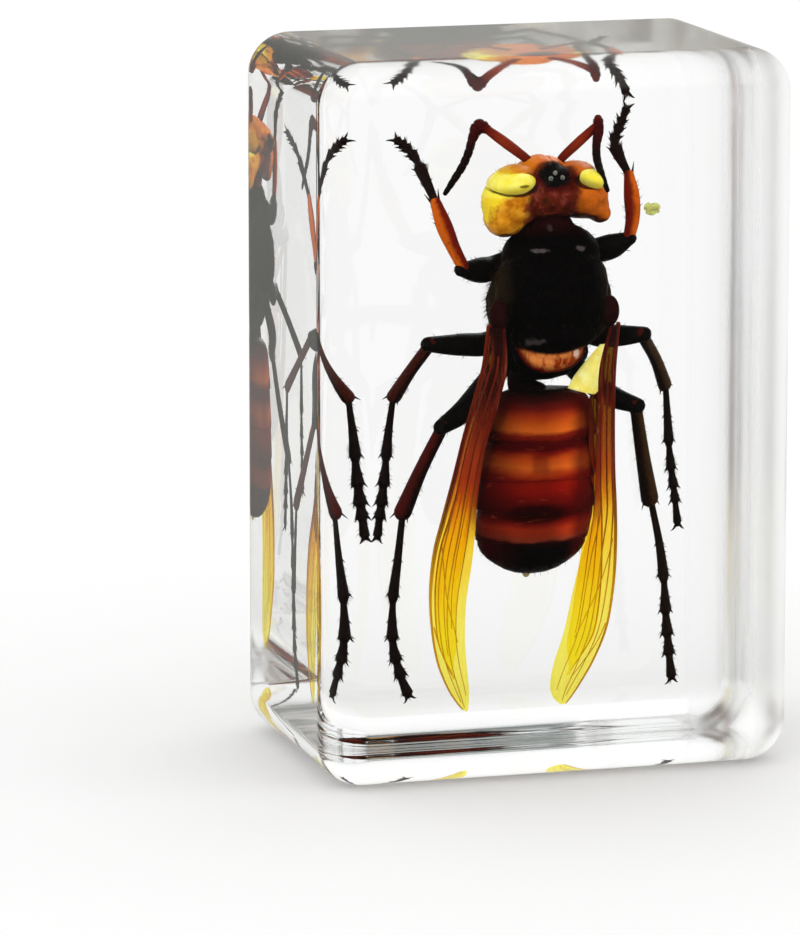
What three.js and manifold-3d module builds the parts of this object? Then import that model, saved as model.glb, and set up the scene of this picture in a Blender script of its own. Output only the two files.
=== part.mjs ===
// A hornet cast in a small upright block of clear resin.
//
// Millimetres, +Z up. The origin is the centre of the block's base. The insect stands head up, its back
// towards the front face (-Y) and its legs spread behind it, so its left side is at -X.
// The block is parted in two on its middle plane, around a pocket that clears the insect all over.

import * as THREE from 'three';
import { RoundedBoxGeometry } from 'three/addons/geometries/RoundedBoxGeometry.js';
import { mergeVertices } from 'three/addons/utils/BufferGeometryUtils.js';
import Module from 'manifold-3d';

const wasm = await Module();
wasm.setup();

// ---------------------------------------------------------------- driving dimensions

const BLOCK = { width: 29, depth: 20, height: 43, edgeRadius: 2.6, edgeSteps: 3 };
const CLEARANCE = 0.34; // between one piece of the insect and its neighbour, and between it and the resin

const LIMB_SIDES = 6;
const WING_SIDES = 6;
const BELLY_SIDES = 16;
const BALL_SIDES = 10;
const BALL_RINGS = 7;
const POINT_SIDES = 4;

// Rounded lumps that make up the head and the thorax: centre and half-sizes.
const HEAD_LUMPS = [
  { name: 'capsule', at: [0.9, 0.9, 34.3], half: [3.45, 2.9, 1.95] },
  { name: 'left temple', at: [-1.35, 0.7, 33.3], half: [1.75, 2.4, 1.75] },
  { name: 'right temple', at: [3.2, 0.7, 33.5], half: [1.65, 2.4, 1.55] },
  { name: 'left eye', at: [-1.65, 0.7, 34.6], half: [1.25, 2.2, 1.3] },
  { name: 'right eye', at: [3.4, 0.7, 34.8], half: [1.15, 2.2, 1.2] },
  { name: 'clypeus', at: [0.9, 3.2, 35.2], half: [1.7, 1.5, 1.05] },
];

const THORAX_LUMPS = [
  { name: 'pronotum', at: [1.05, 0.1, 30.5], half: [2.95, 2.8, 2.45] },
  { name: 'mesoscutum', at: [1.0, -0.4, 28.5], half: [3.55, 3.2, 3.5] },
  { name: 'mesosternum', at: [1.0, 1.3, 28.0], half: [3.2, 2.7, 3.4] },
  { name: 'scutellum', at: [0.9, -1.7, 26.0], half: [2.5, 1.6, 1.4] },
  { name: 'metanotum', at: [0.8, -1.1, 25.0], half: [2.3, 1.5, 1.35] },
  { name: 'propodeum', at: [0.75, 0.7, 25.0], half: [2.4, 2.3, 1.6] },
  { name: 'left tegula', at: [-2.5, -1.5, 27.3], half: [0.6, 0.6, 0.85] },
  { name: 'right tegula', at: [4.45, -1.5, 27.3], half: [0.6, 0.6, 0.85] },
];

// The gaster: overlapping rings along a straight axis that sinks away from the front face.
const GASTER = {
  front: [0.4, 0.5, 22.35],
  tip: [-0.05, 1.15, 11.1],
  flatness: 0.84, // depth over width
  step: 0.13, // how far each ring's hind edge stands proud of the next ring
  // Each ring: the height of its hind edge, and its half-width there.
  rings: [
    { hind: 19.6, half: 3.2 },
    { hind: 17.2, half: 3.45 },
    { hind: 15.3, half: 3.52 },
    { hind: 13.4, half: 3.35 },
  ],
  shoulder: [{ z: 22.35, half: 1.5 }, { z: 22.1, half: 2.45 }, { z: 21.5, half: 2.95 }],
  cap: [{ z: 12.4, half: 2.75 }, { z: 11.6, half: 1.75 }, { z: 11.2, half: 0.7 }],
  petiole: { from: [0.1, 1.5, 23.0], radius: 0.5 },
};

// The roomy hollows that the resin leaves around the three parts of the body.
const BODY_ROOMS = [
  { name: 'head room', at: [0.9, 1.4, 33.9], half: [5.0, 5.0, 3.6] },
  { name: 'thorax room', at: [1.0, 0.2, 28.2], half: [5.4, 5.3, 6.4] },
  { name: 'gaster room', at: [0.3, 0.8, 17.0], half: [4.9, 4.7, 7.4] },
];

// Antennae: points from the face to the knee, and from the knee to the tip, with the radius at each.
const ANTENNAE = {
  antenna_left: {
    scape: [
      { at: [0.05, 0.9, 35.6], r: 0.22 },
      { at: [-0.25, 1.0, 36.15], r: 0.24 },
      { at: [-1.4, 2.1, 37.15], r: 0.28 },
      { at: [-2.4, 2.8, 37.85], r: 0.24 },
    ],
    flagellum: [
      { at: [-2.35, 2.85, 37.95], r: 0.3 },
      { at: [-3.1, 3.05, 38.0], r: 0.34 },
      { at: [-3.4, 3.15, 37.3], r: 0.22 },
      { at: [-3.6, 3.2, 36.5], r: 0.21 },
      { at: [-3.9, 3.3, 35.7], r: 0.2 },
      { at: [-4.35, 3.5, 34.8], r: 0.17 },
      { at: [-4.8, 3.6, 34.1], r: 0.11 },
    ],
  },
  antenna_right: {
    scape: [
      { at: [1.65, 0.9, 35.6], r: 0.22 },
      { at: [1.95, 1.0, 36.15], r: 0.24 },
      { at: [3.1, 1.3, 37.0], r: 0.28 },
      { at: [4.15, 1.6, 37.8], r: 0.24 },
    ],
    flagellum: [
      { at: [4.3, 1.6, 38.35], r: 0.26 },
      { at: [4.3, 1.3, 37.7], r: 0.27 },
      { at: [4.25, 0.7, 36.9], r: 0.21 },
      { at: [4.25, 0.0, 36.1], r: 0.2 },
      { at: [4.3, -1.0, 35.3], r: 0.17 },
      { at: [4.45, -1.7, 34.4], r: 0.11 },
    ],
  },
};

// Wings, folded lengthwise: leading edge and trailing edge at stations from the shoulder to the tip.
const WINGS = {
  fore_wing_left: [
    { lead: [-3.15, -2.0, 26.2], trail: [-2.5, -2.65, 26.1] },
    { lead: [-3.45, -1.55, 24.3], trail: [-2.35, -2.6, 24.1] },
    { lead: [-3.9, -1.0, 22.4], trail: [-2.85, -2.25, 21.8] },
    { lead: [-4.4, -0.4, 20.0], trail: [-3.3, -1.55, 19.3] },
    { lead: [-4.95, 0.2, 17.4], trail: [-3.6, -0.8, 16.6] },
    { lead: [-5.55, 0.8, 14.8], trail: [-3.65, -0.1, 14.0] },
    { lead: [-6.0, 1.2, 12.8], trail: [-3.75, 0.5, 11.9] },
    { lead: [-6.2, 1.45, 10.4], trail: [-4.0, 0.9, 9.6] },
    { lead: [-6.0, 1.65, 8.0], trail: [-4.05, 1.25, 7.2] },
    { lead: [-5.35, 1.9, 5.2], trail: [-3.75, 1.7, 4.6] },
    { lead: [-4.2, 2.15, 3.0], trail: [-3.5, 2.1, 2.6] },
  ],
  fore_wing_right: [
    { lead: [4.85, -2.0, 26.2], trail: [4.2, -2.65, 26.1] },
    { lead: [4.75, -1.6, 24.1], trail: [3.65, -2.6, 24.0] },
    { lead: [4.8, -1.1, 22.4], trail: [3.6, -2.3, 22.0] },
    { lead: [4.9, -0.6, 20.2], trail: [3.65, -1.75, 19.7] },
    { lead: [5.1, 0.1, 17.4], trail: [3.75, -1.0, 17.0] },
    { lead: [5.35, 0.7, 15.0], trail: [3.75, -0.3, 14.5] },
    { lead: [5.5, 1.15, 12.6], trail: [3.2, 0.4, 12.2] },
    { lead: [5.45, 1.45, 10.2], trail: [2.75, 0.9, 10.0] },
    { lead: [5.1, 1.7, 7.6], trail: [2.3, 1.3, 7.4] },
    { lead: [4.2, 1.95, 4.8], trail: [1.6, 1.8, 4.6] },
    { lead: [2.9, 2.15, 2.9], trail: [1.65, 2.1, 2.9] },
  ],
};
const WING_THICKNESS = 0.22;

// Each hind wing lies under its fore wing: behind it, narrower, and stopping short of its tip.
const HIND_WING = { behind: 0.6, width: 0.62, inward: 0.26, stations: [1, 2, 3, 4, 5, 6, 7, 8] };

// Legs: points along each part from the body outwards, with the radius at each.
const LEGS = {
  front_leg_left: {
    femur: [
      { at: [-0.6, 2.6, 30.3], r: 0.6 },
      { at: [-2.0, 2.2, 29.7], r: 0.62 },
      { at: [-3.1, 1.6, 29.6], r: 0.66 },
      { at: [-4.2, 1.0, 29.8], r: 0.42 },
    ],
    tibia: [
      { at: [-4.15, 1.0, 29.85], r: 0.34 },
      { at: [-4.8, 1.0, 31.1], r: 0.38 },
      { at: [-5.35, 1.05, 32.4], r: 0.44 },
      { at: [-5.85, 1.2, 33.8], r: 0.3 },
    ],
    tarsus: [
      { at: [-5.85, 1.2, 33.8], r: 0.28 },
      { at: [-6.35, 2.1, 35.2], r: 0.26 },
      { at: [-6.75, 3.2, 36.35], r: 0.22 },
      { at: [-7.2, 4.2, 37.0], r: 0.2 },
      { at: [-7.6, 4.6, 37.3], r: 0.14 },
    ],
  },
  front_leg_right: {
    femur: [
      { at: [2.6, 2.6, 30.3], r: 0.6 },
      { at: [4.0, 2.2, 30.4], r: 0.62 },
      { at: [5.2, 1.6, 30.7], r: 0.66 },
      { at: [6.15, 1.0, 31.1], r: 0.42 },
    ],
    tibia: [
      { at: [6.15, 1.0, 31.15], r: 0.34 },
      { at: [6.35, 1.0, 32.4], r: 0.4 },
      { at: [6.3, 1.05, 33.7], r: 0.44 },
      { at: [6.15, 1.2, 35.0], r: 0.28 },
    ],
    tarsus: [
      { at: [6.15, 1.2, 35.0], r: 0.26 },
      { at: [5.6, 1.8, 36.2], r: 0.26 },
      { at: [5.45, 2.2, 37.0], r: 0.22 },
      { at: [5.95, 2.8, 37.95], r: 0.2 },
      { at: [6.4, 3.2, 38.8], r: 0.14 },
    ],
  },
  mid_leg_left: {
    femur: [
      { at: [-0.4, 2.6, 26.6], r: 0.55 },
      { at: [-2.2, 2.2, 25.2], r: 0.6 },
      { at: [-4.2, 1.4, 25.2], r: 0.58 },
      { at: [-6.35, 0.6, 25.4], r: 0.4 },
    ],
    tibia: [
      { at: [-6.35, 0.65, 25.4], r: 0.32 },
      { at: [-7.15, 2.6, 23.6], r: 0.34 },
      { at: [-7.8, 4.5, 21.9], r: 0.4 },
    ],
    tarsus: [
      { at: [-7.85, 4.5, 21.9], r: 0.24 },
      { at: [-8.2, 4.4, 19.6], r: 0.22 },
      { at: [-8.4, 4.3, 17.6], r: 0.24 },
      { at: [-8.75, 4.2, 15.6], r: 0.26 },
      { at: [-8.95, 4.2, 14.3], r: 0.16 },
    ],
  },
  mid_leg_right: {
    femur: [
      { at: [2.4, 2.6, 26.6], r: 0.55 },
      { at: [4.2, 2.2, 25.4], r: 0.6 },
      { at: [5.6, 1.4, 25.3], r: 0.56 },
      { at: [6.95, 0.6, 25.4], r: 0.4 },
    ],
    tibia: [
      { at: [6.95, 0.65, 25.4], r: 0.32 },
      { at: [8.2, 2.6, 23.6], r: 0.34 },
      { at: [9.2, 4.5, 21.8], r: 0.38 },
    ],
    tarsus: [
      { at: [9.25, 4.5, 21.8], r: 0.24 },
      { at: [9.45, 4.4, 19.6], r: 0.22 },
      { at: [9.6, 4.3, 17.6], r: 0.22 },
      { at: [9.85, 4.2, 15.6], r: 0.22 },
      { at: [10.05, 4.2, 14.1], r: 0.14 },
    ],
  },
  hind_leg_left: {
    femur: [
      { at: [-0.3, 2.9, 24.8], r: 0.5 },
      { at: [-1.9, 2.9, 23.1], r: 0.62 },
      { at: [-4.0, 1.3, 21.3], r: 0.6 },
      { at: [-5.6, 0.3, 20.4], r: 0.42 },
    ],
    tibia: [
      { at: [-5.6, 0.35, 20.35], r: 0.34 },
      { at: [-6.7, 1.4, 17.8], r: 0.38 },
      { at: [-7.6, 2.7, 15.1], r: 0.46 },
    ],
    tarsus: [
      { at: [-7.6, 2.7, 15.1], r: 0.26 },
      { at: [-7.9, 2.8, 12.2], r: 0.24 },
      { at: [-8.2, 2.8, 9.7], r: 0.24 },
      { at: [-8.2, 2.8, 7.3], r: 0.24 },
      { at: [-7.7, 2.8, 5.6], r: 0.26 },
      { at: [-7.2, 2.8, 4.4], r: 0.2 },
    ],
  },
  hind_leg_right: {
    femur: [
      { at: [1.9, 2.9, 24.8], r: 0.5 },
      { at: [3.5, 2.7, 23.0], r: 0.62 },
      { at: [5.1, 1.3, 21.7], r: 0.58 },
      { at: [6.5, 0.3, 21.1], r: 0.42 },
    ],
    tibia: [
      { at: [6.5, 0.35, 21.05], r: 0.34 },
      { at: [7.15, 1.4, 18.0], r: 0.4 },
      { at: [7.9, 2.7, 15.1], r: 0.46 },
    ],
    tarsus: [
      { at: [7.95, 2.7, 15.1], r: 0.26 },
      { at: [8.55, 2.8, 12.3], r: 0.24 },
      { at: [8.85, 2.8, 10.0], r: 0.24 },
      { at: [9.0, 2.8, 8.0], r: 0.24 },
      { at: [9.2, 2.8, 6.0], r: 0.24 },
      { at: [9.4, 2.8, 4.6], r: 0.2 },
    ],
  },
};
const CLAW = { length: 0.5, radius: 0.09, spread: 0.6 }; // two at the end of each foot
const SPUR = { length: 0.75, radius: 0.1, spread: 0.4 }; // two at the end of each tibia
const LEG_ROOM = { around: 0.55, past: 0.9 }; // space in the resin around a leg and past its ends

// ---------------------------------------------------------------- finishes

const finish = (color, roughness) => new THREE.MeshStandardMaterial({ color, roughness, metalness: 0 });
const CLEAR_RESIN = new THREE.MeshStandardMaterial({
  color: 0xf4f7f5,
  roughness: 0.05,
  metalness: 0,
  transparent: true,
  opacity: 0.3,
});
const AMBER_CUTICLE = finish(0xc8761a, 0.45);
const BLACK_CUTICLE = finish(0x120c0a, 0.4);
const RED_CUTICLE = finish(0x7a220c, 0.35);
const DARK_HORN = finish(0x3a140c, 0.4);
const AMBER_MEMBRANE = finish(0xc98a1c, 0.3);

// ---------------------------------------------------------------- shape tools

const DEPTH_AXIS = new THREE.Vector3(0, 1, 0);
const vector = (point) => new THREE.Vector3(...point);

/** A closed three.js geometry as a solid that can be joined and cut. */
function toSolid(geometry) {
  geometry.deleteAttribute('normal');
  geometry.deleteAttribute('uv');
  const merged = mergeVertices(geometry, 1e-5);
  return new wasm.Manifold(new wasm.Mesh({
    numProp: 3,
    vertProperties: merged.attributes.position.array,
    triVerts: merged.index.array,
  }));
}

/** The solids joined into one. */
const join = (solids) => solids.reduce((whole, piece) => whole.add(piece));

/** A named mesh of a solid. */
function meshOf(name, solid, material) {
  const { vertProperties, triVerts } = solid.getMesh();
  const geometry = new THREE.BufferGeometry();
  geometry.setAttribute('position', new THREE.BufferAttribute(vertProperties, 3));
  geometry.setIndex(new THREE.BufferAttribute(triVerts, 1));
  geometry.computeVertexNormals();
  const mesh = new THREE.Mesh(geometry, material);
  mesh.name = name;
  return mesh;
}

/** An ellipsoid, grown outwards by `grow`. */
function ball(at, half, grow) {
  const geometry = new THREE.SphereGeometry(1, BALL_SIDES, BALL_RINGS);
  geometry.rotateX(Math.PI / 2);
  geometry.scale(...half.map((size) => size + grow));
  geometry.translate(...at);
  return toSolid(geometry);
}

/** The direction of a path at its point i, as the mean of the stretches that meet there. */
function directionAt(points, i) {
  const before = points[Math.max(i - 1, 0)];
  const after = points[Math.min(i + 1, points.length - 1)];
  return after.clone().sub(before).normalize();
}

/** An oval body through stations: each has its centre, its half-axis `across`, and `depth`, the other half. */
function sweep(stations, sides) {
  const geometry = new THREE.CylinderGeometry(1, 1, 1, sides, stations.length - 1);
  const position = geometry.attributes.position;
  const centres = stations.map(({ at }) => at);
  const through = stations.map(({ across, depth }, i) => (
    directionAt(centres, i).cross(across).setLength(depth)
  ));
  const unit = new THREE.Vector3();
  for (let vertex = 0; vertex < position.count; vertex += 1) {
    unit.fromBufferAttribute(position, vertex);
    const i = Math.round((0.5 - unit.y) * (stations.length - 1));
    const moved = centres[i].clone()
      .addScaledVector(stations[i].across, unit.x)
      .addScaledVector(through[i], unit.z);
    position.setXYZ(vertex, moved.x, moved.y, moved.z);
  }
  return toSolid(geometry);
}

/** A limb through points with a radius at each, made thicker by `grow` and longer by `reach`. */
function limb(path, grow = 0, reach = grow) {
  const centres = path.map(({ at }) => vector(at));
  return sweep(path.map(({ r }, i) => {
    const along = directionAt(centres, i);
    const end = (i === path.length - 1) - (i === 0);
    return {
      at: centres[i].clone().addScaledVector(along, end * reach),
      across: new THREE.Vector3().crossVectors(DEPTH_AXIS, along).setLength(r + grow),
      depth: r + grow,
    };
  }), LIMB_SIDES);
}

/** Two small points growing from `root`, spread to both sides of `along`. */
function points(root, along, { length, radius, spread }) {
  const across = new THREE.Vector3().crossVectors(DEPTH_AXIS, along).normalize();
  return join([-spread, spread].map((lean) => {
    const aim = along.clone().addScaledVector(across, lean).normalize();
    const geometry = new THREE.ConeGeometry(radius, length, POINT_SIDES);
    geometry.translate(0, length / 2, 0);
    geometry.applyQuaternion(new THREE.Quaternion().setFromUnitVectors(DEPTH_AXIS, aim));
    geometry.translate(root.x, root.y, root.z);
    return toSolid(geometry);
  }));
}

// ---------------------------------------------------------------- the pieces of the insect
// Those that a neighbour is cut by take `grow`: 0 for the piece itself, or the clearance kept around it.

const lumps = (list, grow) => join(list.map(({ at, half }) => ball(at, half, grow)));
const drawHead = (grow) => lumps(HEAD_LUMPS, grow);
const drawThorax = (grow) => lumps(THORAX_LUMPS, grow);

/** The gaster's centre line at height z. */
function gasterCentre(z) {
  const [front, tip] = [vector(GASTER.front), vector(GASTER.tip)];
  return front.clone().lerp(tip, (front.z - z) / (front.z - tip.z));
}

/** The gaster's outline from the waist to the tip, with a step down behind each ring. */
function gasterOutline() {
  const rings = GASTER.rings.flatMap(({ hind, half }) => [
    { z: hind, half },
    { z: hind - GASTER.step, half: half - GASTER.step },
  ]);
  return [...GASTER.shoulder, ...rings, ...GASTER.cap];
}

/** The gaster with the narrow waist that joins it to the thorax. */
function drawGaster() {
  const body = sweep(gasterOutline().map(({ z, half }) => ({
    at: gasterCentre(z),
    across: new THREE.Vector3(half, 0, 0),
    depth: half * GASTER.flatness,
  })), BELLY_SIDES);
  const waist = [GASTER.petiole.from, GASTER.front].map((at) => ({ at, r: GASTER.petiole.radius }));
  return body.add(limb(waist));
}

/** A folded wing from its leading and trailing edge. */
function drawWing(stations, grow) {
  return sweep(stations.map(({ lead, trail }, i) => {
    const end = (i === 0) - (i === stations.length - 1);
    const half = lead.clone().sub(trail).multiplyScalar(0.5);
    return {
      at: lead.clone().add(trail).multiplyScalar(0.5).setZ((lead.z + trail.z) / 2 + end * grow),
      across: half.setLength(half.length() + grow),
      depth: WING_THICKNESS / 2 + grow,
    };
  }), WING_SIDES);
}

const foreWing = (edges) => edges.map(({ lead, trail }) => ({ lead: vector(lead), trail: vector(trail) }));

/** The hind wing that lies behind a fore wing. */
function hindWing(edges) {
  const fore = foreWing(edges);
  return HIND_WING.stations.map((i) => {
    const { lead, trail } = fore[i];
    const chord = lead.clone().sub(trail);
    const down = fore[i + 1].lead.clone().sub(fore[i - 1].lead);
    const normal = down.cross(chord).normalize();
    const shift = normal.multiplyScalar(HIND_WING.behind * Math.sign(normal.y));
    const start = trail.clone().addScaledVector(chord, HIND_WING.inward).add(shift);
    return { lead: start.clone().addScaledVector(chord, HIND_WING.width), trail: start };
  });
}

/** Small points at the end of a limb's path. */
function pointsAtEnd(path, form) {
  const centres = path.map(({ at }) => vector(at));
  const last = centres.length - 1;
  return points(centres[last], directionAt(centres, last), form);
}

/** A leg with the spurs at the end of its tibia and its claws. */
function drawLeg({ femur, tibia, tarsus }) {
  const bones = [femur, tibia, tarsus].map((path) => limb(path));
  return join([...bones, pointsAtEnd(tibia, SPUR), pointsAtEnd(tarsus, CLAW)]);
}

/** The space around a leg, with room for its spurs and claws. */
function drawLegRoom({ femur, tibia, tarsus }) {
  return join([femur, tibia, tarsus].map((path) => limb(path, LEG_ROOM.around, LEG_ROOM.past)));
}

const drawAntenna = ({ scape, flagellum }, grow) => limb(scape, grow).add(limb(flagellum, grow));

// ---------------------------------------------------------------- the assembly

const thorax = drawThorax(0);
const aroundThorax = drawThorax(CLEARANCE);
const aroundHead = drawHead(CLEARANCE);
const insect = [
  { name: 'head', solid: drawHead(0).subtract(aroundThorax), finish: AMBER_CUTICLE },
  { name: 'thorax', solid: thorax, finish: BLACK_CUTICLE },
  { name: 'abdomen', solid: drawGaster().subtract(aroundThorax), finish: RED_CUTICLE },
];
const spaces = [lumps(BODY_ROOMS, 0)];

for (const [name, antenna] of Object.entries(ANTENNAE)) {
  insect.push({ name, solid: drawAntenna(antenna, 0).subtract(aroundHead), finish: DARK_HORN });
  spaces.push(drawAntenna(antenna, CLEARANCE));
}
for (const [name, edges] of Object.entries(WINGS)) {
  const fore = foreWing(edges);
  const hind = hindWing(edges);
  insect.push({ name, solid: drawWing(fore, 0), finish: AMBER_MEMBRANE });
  insect.push({ name: name.replace('fore', 'hind'), solid: drawWing(hind, 0), finish: AMBER_MEMBRANE });
  spaces.push(drawWing(fore, HIND_WING.behind + WING_THICKNESS + CLEARANCE));
}
for (const [name, leg] of Object.entries(LEGS)) {
  insect.push({ name, solid: drawLeg(leg).subtract(aroundThorax), finish: BLACK_CUTICLE });
  spaces.push(drawLegRoom(leg));
}

/** One half of the block, on the given side of the parting plane, around the insect's pocket. */
function resinHalf(side) {
  const { width, depth, height, edgeRadius, edgeSteps } = BLOCK;
  const block = new RoundedBoxGeometry(width, depth, height, edgeSteps, edgeRadius);
  block.translate(0, 0, height / 2);
  const keep = new THREE.BoxGeometry(2 * width, depth, 2 * height);
  keep.translate(0, (side * depth) / 2, height / 2);
  return toSolid(block).intersect(toSolid(keep)).subtract(join(spaces));
}

const group = new THREE.Group();
group.add(meshOf('resin_front', resinHalf(-1), CLEAR_RESIN));
group.add(meshOf('resin_back', resinHalf(1), CLEAR_RESIN));
for (const { name, solid, finish: material } of insect) {
  group.add(meshOf(name, solid, material));
}

export default group;
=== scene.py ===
"""A hornet cast in a small upright block of clear resin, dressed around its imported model.

The frame is the block's own: +Z up, the origin at the centre of its base, the front face at -Y. The insect
stands head up with its back to the front face, so its left side is at -X. Shapes are drawn in millimetres and
turned to metres when a piece is finished.
"""

import math

import bmesh
import bpy
import numpy as np
from mathutils import Matrix, Vector, noise


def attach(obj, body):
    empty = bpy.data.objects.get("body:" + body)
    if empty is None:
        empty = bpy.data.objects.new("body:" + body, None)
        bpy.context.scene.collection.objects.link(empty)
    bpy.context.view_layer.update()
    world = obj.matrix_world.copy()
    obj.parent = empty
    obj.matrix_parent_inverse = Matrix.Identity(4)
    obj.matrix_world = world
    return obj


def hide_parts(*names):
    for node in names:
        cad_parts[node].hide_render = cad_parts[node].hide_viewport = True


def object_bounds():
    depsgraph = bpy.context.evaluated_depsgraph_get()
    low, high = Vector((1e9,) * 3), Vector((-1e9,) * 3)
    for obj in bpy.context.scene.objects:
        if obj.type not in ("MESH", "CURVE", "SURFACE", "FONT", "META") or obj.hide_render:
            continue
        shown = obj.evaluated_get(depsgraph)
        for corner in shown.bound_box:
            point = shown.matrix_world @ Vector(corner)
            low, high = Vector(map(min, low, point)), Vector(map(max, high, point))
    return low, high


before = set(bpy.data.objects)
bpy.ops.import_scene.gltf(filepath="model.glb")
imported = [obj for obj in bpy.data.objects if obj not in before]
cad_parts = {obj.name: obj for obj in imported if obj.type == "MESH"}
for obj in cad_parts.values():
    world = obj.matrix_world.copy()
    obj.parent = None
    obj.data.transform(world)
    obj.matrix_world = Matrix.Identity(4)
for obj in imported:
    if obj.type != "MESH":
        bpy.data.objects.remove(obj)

CAD_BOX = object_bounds()
BLOCK_MIDDLE = (Vector(CAD_BOX[0]) + Vector(CAD_BOX[1])) / 2

bl_info = {
    "name": "Hornet in Resin",
    "version": (1, 0, 0),
    "blender": (4, 5, 0),
    "location": "3D View > Sidebar > Hornet",
    "description": "Builds a hornet cast in a block of clear resin",
    "category": "Add Mesh",
}

MM = 0.001
BODY = "root"
INSECT = "hornet"
# How much cuticle that lies in resin seems to bend light: the dark glossy parts, and the others.
BLACK_BENDING = 1.03
CUTICLE_BENDING = 1.08

# ------------------------------------------------------------------ sizes of the insect, in millimetres

LUMP_SIDES = 28
HEAD_SOFTENING = 14
THORAX_SOFTENING = 5
THORAX_COARSENESS = 1.15  # facets of the thorax over those of the head
# Rounded lumps that are fused into the head and the thorax: centre and half-sizes.
HEAD_LUMPS = {
    "capsule": ((0.9, 0.9, 34.2), (3.35, 2.8, 1.7)),
    "left temple": ((-1.3, 0.7, 33.75), (1.8, 2.35, 1.7)),
    "left cheek": ((-1.72, 0.7, 32.85), (1.25, 2.0, 1.25)),
    "right temple": ((3.1, 0.7, 34.0), (1.62, 2.35, 1.45)),
    "right cheek": ((3.7, 0.7, 33.35), (1.05, 1.8, 0.85)),
    "left orbit": ((-0.9, 0.6, 35.08), (1.6, 2.15, 0.86)),
    "right orbit": ((2.75, 0.6, 35.35), (1.2, 2.15, 0.7)),
    "frons": ((0.68, 1.1, 35.6), (1.35, 2.3, 0.9)),
    "vertex": ((0.95, -0.35, 34.8), (1.5, 1.4, 1.2)),
    "clypeus": ((0.9, 3.1, 35.2), (1.6, 1.4, 1.0)),
    "neck": ((0.95, 1.0, 32.7), (1.1, 1.3, 1.0)),
    "right corner": ((4.2, 0.7, 32.85), (0.66, 1.3, 0.6)),
}
# Eyes: centre, half-sizes and lean in degrees.
EYES = {
    "left eye": ((-1.25, 0.6, 34.9), (1.52, 2.75, 0.84), -8.0),
    "right eye": ((3.3, 0.6, 35.05), (1.2, 2.75, 0.66), 27.0),
}
OCELLI = [(0.7, -1.66, 35.24), (1.0, -1.46, 35.54), (1.42, -1.62, 35.26)]
OCELLUS_RADIUS = 0.15
# Mandibles: x, y, z and radius at points from the root to the tip.
MANDIBLES = {
    "left": [
        (-0.35, 3.2, 34.75, 0.62), (-0.25, 3.85, 34.9, 0.55), (0.15, 4.25, 35.15, 0.42),
        (0.75, 4.35, 35.3, 0.16),
    ],
    "right": [
        (2.15, 3.2, 34.75, 0.62), (2.05, 3.85, 34.9, 0.55), (1.65, 4.25, 35.1, 0.42), (1.0, 4.4, 35.1, 0.16),
    ],
}

THORAX_LUMPS = {
    "pronotum": ((1.05, 0.1, 30.2), (3.12, 2.75, 2.4)),
    "mesoscutum": ((1.0, -0.4, 28.5), (3.55, 3.1, 3.4)),
    "mesosternum": ((1.0, 1.3, 28.0), (3.2, 2.6, 3.3)),
    "left flank": ((-1.25, 0.9, 27.5), (1.5, 2.2, 2.5)),
    "right flank": ((3.3, 0.9, 27.5), (1.68, 2.2, 2.5)),
    "scutellum": ((0.85, -1.7, 25.8), (2.65, 1.5, 1.12)),
    "metanotum": ((0.72, -1.15, 24.75), (2.3, 1.45, 1.2)),
    "propodeum": ((0.65, 0.5, 24.7), (2.85, 2.2, 1.75)),
    "neck": ((1.0, 0.4, 32.3), (1.5, 1.6, 0.85)),
}
# Painted sheens, greyish highlights on the black of the thorax: centre, half-sizes and strength.
THORAX_PAINTED_SHEENS = [
    ((-0.1, -2.2, 31.0), (0.7, 1.5, 0.15), 0.4),
    ((2.5, -2.0, 31.0), (0.42, 1.5, 0.2), 0.35),
    ((0.72, -1.5, 32.3), (0.24, 1.5, 0.24), 0.35),
    ((-0.5, -2.6, 25.6), (0.85, 1.5, 0.3), 0.2),
]
TEGULAE = {
    "left": ((-2.45, -1.5, 27.15), (0.62, 0.62, 0.95)),
    "right": ((4.4, -1.5, 27.15), (0.62, 0.62, 0.95)),
}

# The gaster lies on a straight axis that sinks away from the front face.
GASTER_FRONT = (0.62, 0.5, 22.35)
GASTER_TIP = (0.05, 1.15, 11.1)
GASTER_FLATNESS = 0.84
GASTER_SIDES = 120
GASTER_STEP = 0.13  # from the lip of a ring down to the next one
# Height and half-width: along the shoulder, at each ring's hind edge, and along the cap.
GASTER_SHOULDER = [
    (22.5, 0.6), (22.48, 1.4), (22.4, 2.1), (22.2, 2.6), (21.85, 2.9), (21.4, 3.08), (20.9, 3.2),
]
GASTER_RINGS = [(19.6, 3.48), (17.2, 3.64), (15.3, 3.68), (13.4, 3.48)]
GASTER_CAP = [
    (13.0, 3.32), (12.6, 3.1), (12.2, 2.76), (11.8, 2.25), (11.5, 1.75), (11.28, 1.15), (11.18, 0.55),
]
STING = {"at": (-0.2, 1.15, 11.25), "half": (0.26, 0.26, 0.34)}
# The waist: x, y, z and radius at points from the thorax to the gaster.
PETIOLE = [(-0.1, 1.0, 23.9, 1.0), (-0.6, 1.0, 23.2, 0.8), (-0.6, 0.9, 22.6, 0.82), (-0.1, 0.6, 21.9, 1.2)]

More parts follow.
